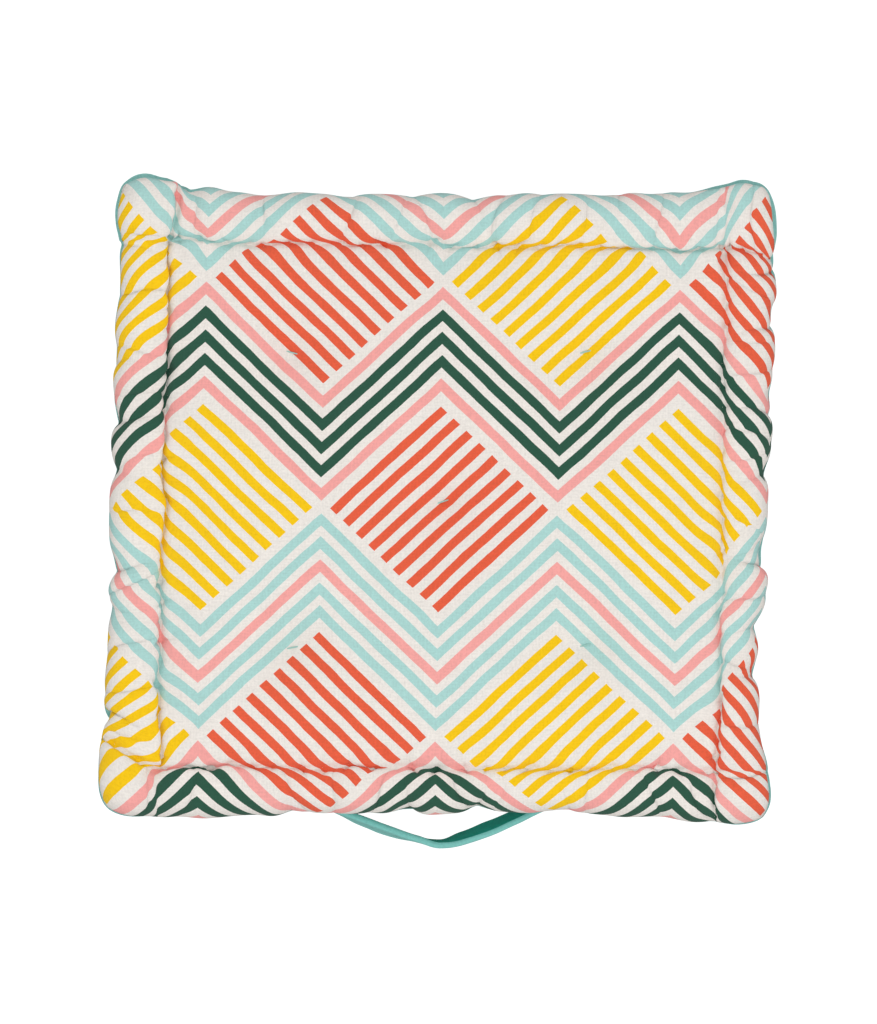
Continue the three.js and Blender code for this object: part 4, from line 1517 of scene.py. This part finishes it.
class CHAIRPAD_OT_cover(bpy.types.Operator):
    """Makes the filled cover: printed top, plain sides and back, rolled edges and tuft dimples"""
    bl_idname = "chairpad.cover"
    bl_label = "Cover"

    def execute(self, context):
        settings = context.scene.chair_pad_cover
        cover = Cover()
        cover.points = plump(cover, settings)
        cover.points = shut_grooves(cover, cover.points)
        made["cover"] = cover

        rough = make_mesh("rough cover", (cover.points + [0.0, PAD_SET_BACK, 0.0]) * MM, cover.faces)
        mesh = rough.data
        add_cloth_uv(mesh, cover.uv)
        add_vectors(mesh, "seam", np.pad(cover.seam, ((0, 0), (0, 1))))
        add_vectors(mesh, "place", cover.place)
        slots = np.ones(len(cover.faces), np.int32)
        slots[: cover.top_faces] = 0
        mesh.polygons.foreach_set("material_index", slots)
        groups = {"print": print_group(context.scene.chair_pad_print), "weave": weave_group(),
                  "seam": seam_group(), "gathers": gather_group()}
        made["groups"] = groups
        mesh.materials.append(cotton_material("printed cotton", groups, settings.yarn))
        mesh.materials.append(
            cotton_material("plain side cotton", groups, settings.yarn, settings.side_colour))
        subdivide(rough)
        pad = link_mesh("pad_cover", plain_mesh(rough))
        crumple(pad.data, cover)
        # The finer mesh has the points of the rough one first
        cover.points = read_vectors(pad.data.vertices, "co")[:len(cover.points)] / MM
        cover.normals = read_vectors(pad.data.vertex_normals)[:len(cover.points)]
        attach(pad, "root")
        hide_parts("pad")
        return {"FINISHED"}


# Stitches, in millimetres: half their length, how far they stand out, and the arch of the thread
TOP_STITCH = (1.4, -0.35)
BACK_STITCH = (1.5, 0.1)
SIDE_STITCH = (1.5, 0.5)
EDGE_ARCH = 0.2
SIDE_ARCH = 0.3
TUFT_ARCH = 0.7

# Grip below which a stitch line has no stitches, and stations from one side stitch to the next
LEAST_GRIP = 0.4
SIDE_STITCH_GAP = 4

# Tuft threads: rise as a share of their radius, and their largest turn
TUFT_LIFT = 0.5
TUFT_TURN = 0.35


def sew(cover, ids, marks, reach, lift):
    """Stitches along a row of points: their starts and ends on both sides of their marks, and the
    directions outwards."""
    row, normal = cover.points[ids], cover.normals[ids]
    marks = marks[(marks > 0) & (marks < len(row) - 1)]
    step = row[marks + 1] - row[marks - 1]
    step *= reach / np.linalg.norm(step, axis=1, keepdims=True)
    middle = row[marks] + normal[marks] * lift
    return middle - step, middle + step, normal[marks]


def tie_tufts(cover, settings):
    """One stitch in each tuft, above and below, turned a little at random."""
    rows = []
    draw = np.random.default_rng(STITCH_SEED)
    for ids, away in ((cover.top_ids, 1.0), (cover.back_ids, -1.0)):
        panel = cover.points[ids]
        for at_x, at_y in TUFTS:
            k = np.argmin(np.hypot(panel[..., 0] - at_x, panel[..., 1] - PAD_SET_BACK - at_y))
            low = panel.reshape(-1, 3)[k] + [0.0, 0.0, away * settings.tuft_radius * TUFT_LIFT]
            turn = draw.uniform(-TUFT_TURN, TUFT_TURN)
            step = np.array([math.cos(turn), math.sin(turn), 0.0]) * settings.tuft_length / 2
            rows.append(([low - step], [low + step], [(0.0, 0.0, away)]))
    return rows


class CHAIRPAD_OT_stitches(bpy.types.Operator):
    """Sews the rolled edges and the tufts with thread"""
    bl_idname = "chairpad.stitches"
    bl_label = "Stitches and tufts"

    def execute(self, context):
        settings = context.scene.chair_pad_thread
        cover = made["cover"]
        made["stitch tree"] = stitch_tree()
        edge_thread = thread_material("edge thread", settings.edge_colour)
        side_thread = thread_material("side thread", context.scene.chair_pad_cover.side_colour)
        tuft_thread = thread_material("tuft twine", settings.tuft_colour)

        rows = []
        for line in cover.stitch_lines:
            held = line.marks[line.grip[line.marks] > LEAST_GRIP]
            every = line.crossing(np.arange(len(line.others)))
            rows += [sew(cover, cover.top_ids[every], held, *TOP_STITCH),
                     sew(cover, cover.back_ids[every], held, *BACK_STITCH)]
        edges = make_stitches("edge_stitches", rows, edge_thread, settings.edge_radius, EDGE_ARCH)
        marks = np.arange(2, cover.stations - 2, SIDE_STITCH_GAP)
        rows = [sew(cover, cover.ring_ids[UNDER_STEPS], marks, *SIDE_STITCH),
                sew(cover, cover.ring_ids[UNDER_STEPS + WALL_STEPS], marks + 2, *SIDE_STITCH)]
        sides = make_stitches("side_stitches", rows, side_thread, settings.edge_radius, SIDE_ARCH)
        rows = tie_tufts(cover, settings)
        tufts = make_stitches("tuft_threads", rows, tuft_thread, settings.tuft_radius, TUFT_ARCH)
        for piece in (edges, sides, tufts):
            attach(piece, "root")
        return {"FINISHED"}


# Strap. Columns: x, distance out of its middle, drop below its ends, lean of its upper edge outwards
STRAP_ROUTE = [
    (-64, 187.2, 0, -6), (-45, 195.6, 0.5, -13), (-29, 201.6, 1.2, -14), (-13, 206.2, 1.9, -6),
    (1, 209.2, 2.2, 1.5), (14, 206.0, 2, 13), (32, 199.4, 1.4, 17), (47, 192.8, 0.7, 15),
    (64, 186.0, 0, 5),
]

# Where its sewn ends stop and where it leaves the side, its height above the floor, how far it
# sinks into the side wall, and the thickness that its route allows for
STRAP_END = 99.0
STRAP_LEAVES = 77.0
STRAP_LEVEL = 40.0
STRAP_SEAT = 0.3
STRAP_CAD_THICK = 3.2

# Its rows at each sewn end, its steps, and the points worked out from each row of its route on
SEWN_ROWS = 4
STRAP_STEPS = 120
CURVE_POINTS = 40

# How uneven its cloth is, and the distance from a seam that its cloth is given
STRAP_SOFT = 0.12
STRAP_SOFT_WAVE = 16.0
STRAP_SEED = 5
FAR_FROM_SEAM = 60.0

# Its inner face is where two neighbours of the section add up to this share of the thickness. That face is
# given a darker teal of painted shade, up close to the folds.
INNER_SHARE = 0.8

# Edge of the folded strap, with a line of stitches. Columns: distance in, share of half thickness
STRAP_FOLD = [(3.4, 1.0), (2.6, 0.72), (1.8, 1.0), (0.9, 0.9), (0.2, 0.5), (0.0, 0.0),
              (0.2, -0.5), (0.9, -0.9), (1.8, -1.0), (2.6, -0.72), (3.4, -1.0)]
STRAP_WAIST = 0.92

# Rows of stitches across each sewn end: distances in from where the strap leaves the side and from
# its end, the stitches' levels on the strap, half their length, and lift as a share of the thread
END_ROWS = (2.0, 3.0)
END_STITCH_LEVELS = (-6.0, -3.0, 0.0, 3.0, 6.0)
END_STITCH_HALF = 1.1
END_STITCH_LIFT = 0.3
END_STITCH_ARCH = 0.3


def strap_rows():
    seat = WALL_INSET - STRAP_SEAT - STRAP_CAD_THICK / 2
    rows = list(STRAP_ROUTE)
    for k in range(SEWN_ROWS + 1):
        reach = STRAP_LEAVES + (STRAP_END - STRAP_LEAVES) * k / SEWN_ROWS
        rows.insert(0, (-reach, float(outline_at("front", -reach, 0)) - seat, 0, 0))
        rows.append((reach, float(outline_at("front", reach, 0)) - seat, 0, 0))
    return np.array(rows, float)


def curve_through(points, steps):
    """A smooth curve through the points, resampled to even steps."""
    gaps = np.sqrt(np.linalg.norm(np.diff(points, axis=0), axis=1))
    knots = np.concatenate([[0.0], np.cumsum(gaps)])
    slopes = np.gradient(points, knots, axis=0)
    fine = []
    for k in range(len(points) - 1):
        t = np.linspace(0, 1, CURVE_POINTS, endpoint=False)[:, None]
        gap = gaps[k]
        fine.append((2 * t**3 - 3 * t**2 + 1) * points[k] + (t**3 - 2 * t**2 + t) * gap * slopes[k]
                    + (3 * t**2 - 2 * t**3) * points[k + 1] + (t**3 - t**2) * gap * slopes[k + 1])
    fine = np.concatenate(fine + [points[-1:]])
    length = np.concatenate([[0.0], np.cumsum(np.linalg.norm(np.diff(fine, axis=0), axis=1))])
    even = np.linspace(0, length[-1], steps + 1)
    return np.stack([np.interp(even, length, fine[:, k]) for k in range(3)], axis=1), length[-1]


def strap_path():
    """The strap's middle line, its upward and outward directions there, and its length."""
    rows = strap_rows()
    knots = np.stack([rows[:, 0], PAD_SET_BACK - rows[:, 1], STRAP_LEVEL - rows[:, 2]], axis=1)
    middle, length = curve_through(knots, STRAP_STEPS)
    tangent = np.gradient(middle, axis=0)
    tangent[:, 2] = 0.0
    tangent /= np.linalg.norm(tangent, axis=1, keepdims=True)
    outwards = np.stack([tangent[:, 1], -tangent[:, 0], np.zeros(len(tangent))], axis=1)
    lean = np.radians(read_table([(row[0], row[3]) for row in rows], middle[:, 0]))[:, None]
    upwards = np.array([0.0, 0.0, 1.0]) * np.cos(lean) + outwards * np.sin(lean)
    return middle, upwards, np.cross(tangent, upwards), length


def strap_section(height, thickness):
    """Section of the folded strap: two flat layers with full folds and a line of stitches near each."""
    half, thick = height / 2, thickness / 2
    upper = [(half - inwards, thick * share) for inwards, share in STRAP_FOLD]
    upper.append((0.0, -thick * STRAP_WAIST))
    return np.array(upper + [(-high, -out) for high, out in upper])


def strap_faces(ids):
    """Quads round the strap, then those of its two ends."""
    around = ids.shape[1]
    quads = np.stack([ids[:-1], ids[1:], np.roll(ids[1:], -1, 1), np.roll(ids[:-1], -1, 1)], -1)
    first = np.array([(around // 2 - 1 - k, around // 2 + k, (around // 2 + k + 1) % around,
                       (around // 2 - 2 - k)) for k in range(around // 2 - 1)])
    return quads.reshape(-1, 4), first, first[:, ::-1] + ids[-1, 0]


def end_stitches(middle, upwards, face, out):
    """Two rows of stitches across each sewn end of the strap."""
    rows = []
    for reach in (STRAP_LEAVES + END_ROWS[0], STRAP_END - END_ROWS[1]):
        for side in (-1, 1):
            k = np.argmin(np.abs(middle[:, 0] - side * reach))
            for level in END_STITCH_LEVELS:
                at = middle[k] + upwards[k] * level + face[k] * out
                step = upwards[k] * END_STITCH_HALF
                rows.append(([at - step], [at + step], [face[k]]))
    return rows


class CHAIRPAD_OT_strap(bpy.types.Operator):
    """Makes the folded carry strap and the stitches that hold its ends"""
    bl_idname = "chairpad.strap"
    bl_label = "Carry strap"

    def execute(self, context):
        settings = context.scene.chair_pad_strap
        middle, upwards, face, length = strap_path()
        section = strap_section(settings.height, settings.thickness)
        body = (middle[:, None, :] + upwards[:, None, :] * section[None, :, :1]
                + face[:, None, :] * section[None, :, 1:])
        soft = smooth_noise(middle[:, 0:1], section[None, :, 0], STRAP_SOFT_WAVE, STRAP_SEED) * STRAP_SOFT
        body += face[:, None, :] * soft[..., None]
        quads, first, last = strap_faces(np.arange(body.shape[0] * body.shape[1]).reshape(body.shape[:2]))
        strap = make_mesh("handle_strap", body.reshape(-1, 3) * MM, np.concatenate([quads, first, last]))
        mesh = strap.data

        run = np.linspace(-length / 2, length / 2, len(middle))
        edge = np.concatenate([[0.0], np.cumsum(np.linalg.norm(np.diff(section, axis=0), axis=1))])
        flat = np.stack(np.broadcast_arrays(run[:, None], edge[None, :]), -1).reshape(-1, 2)
        add_cloth_uv(mesh, flat[corner_vertices(mesh)])
        away = np.full(len(flat), FAR_FROM_SEAM)
        add_vectors(mesh, "seam", np.stack([away, flat[:, 0], flat[:, 1]], axis=1))
        # Faces of the inner side take the second material, the darker teal of painted shade
        shaded_inner_side = section[:, 1] + np.roll(section[:, 1], -1) < -INNER_SHARE * settings.thickness
        slots = np.concatenate([np.tile(shaded_inner_side, len(middle) - 1), np.zeros(len(first) * 2, bool)])
        mesh.polygons.foreach_set("material_index", slots.astype(np.int32))
        yarn = context.scene.chair_pad_cover.yarn
        # The second copy of the teal is darker: painted shade on the inner face
        for name, tone in (("strap outer cotton", settings.outer_colour),
                           ("strap inner painted shade cotton", settings.inner_shade_colour)):
            mesh.materials.append(cotton_material(name, made["groups"], yarn, tone))
        subdivide(strap)
        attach(strap, "root")
        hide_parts("handle")

        radius = context.scene.chair_pad_thread.edge_radius
        out = settings.thickness / 2 + radius * END_STITCH_LIFT
        rows = end_stitches(middle, upwards, face, out)
        thread = thread_material("strap thread", settings.outer_colour)
        stitches = make_stitches("strap_stitches", rows, thread, radius, END_STITCH_ARCH)
        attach(stitches, "root")
        return {"FINISHED"}


class CHAIRPAD_PT_panel(bpy.types.Panel):
    """Lists the parts of the chair pad and their sizes and colours"""
    bl_idname = "CHAIRPAD_PT_panel"
    bl_label = "Chair pad"
    bl_space_type = "VIEW_3D"
    bl_region_type = "UI"
    bl_category = "Chair pad"

    def draw(self, context):
        for name, group, _, operators in PARTS:
            box = self.layout.box()
            box.label(text=name)
            settings = getattr(context.scene, group)
            for prop in settings.bl_rna.properties:
                if prop.identifier not in {"rna_type", "name"}:
                    box.prop(settings, prop.identifier)
            for operator in operators:
                box.operator(operator)


PARTS = [
    ("Stage", "chair_pad_stage", ChairPadStage, ["chairpad.stage"]),
    ("Cover", "chair_pad_cover", ChairPadCover, ["chairpad.cover"]),
    ("Print", "chair_pad_print", ChairPadPrint, []),
    ("Thread", "chair_pad_thread", ChairPadThread, ["chairpad.stitches"]),
    ("Strap", "chair_pad_strap", ChairPadStrap, ["chairpad.strap"]),
]
CLASSES = [CHAIRPAD_OT_stage, CHAIRPAD_OT_cover, CHAIRPAD_OT_stitches, CHAIRPAD_OT_strap,
           CHAIRPAD_PT_panel]


def register():
    for _, name, group, _ in PARTS:
        bpy.utils.register_class(group)
        setattr(bpy.types.Scene, name, bpy.props.PointerProperty(type=group))
    for item in CLASSES:
        bpy.utils.register_class(item)


def unregister():
    for item in reversed(CLASSES):
        bpy.utils.unregister_class(item)
    for _, name, group, _ in reversed(PARTS):
        delattr(bpy.types.Scene, name)
        bpy.utils.unregister_class(group)


def main():
    register()
    bpy.ops.chairpad.stage()
    bpy.ops.chairpad.cover()
    bpy.ops.chairpad.stitches()
    bpy.ops.chairpad.strap()


if __name__ == "__main__":
    main()
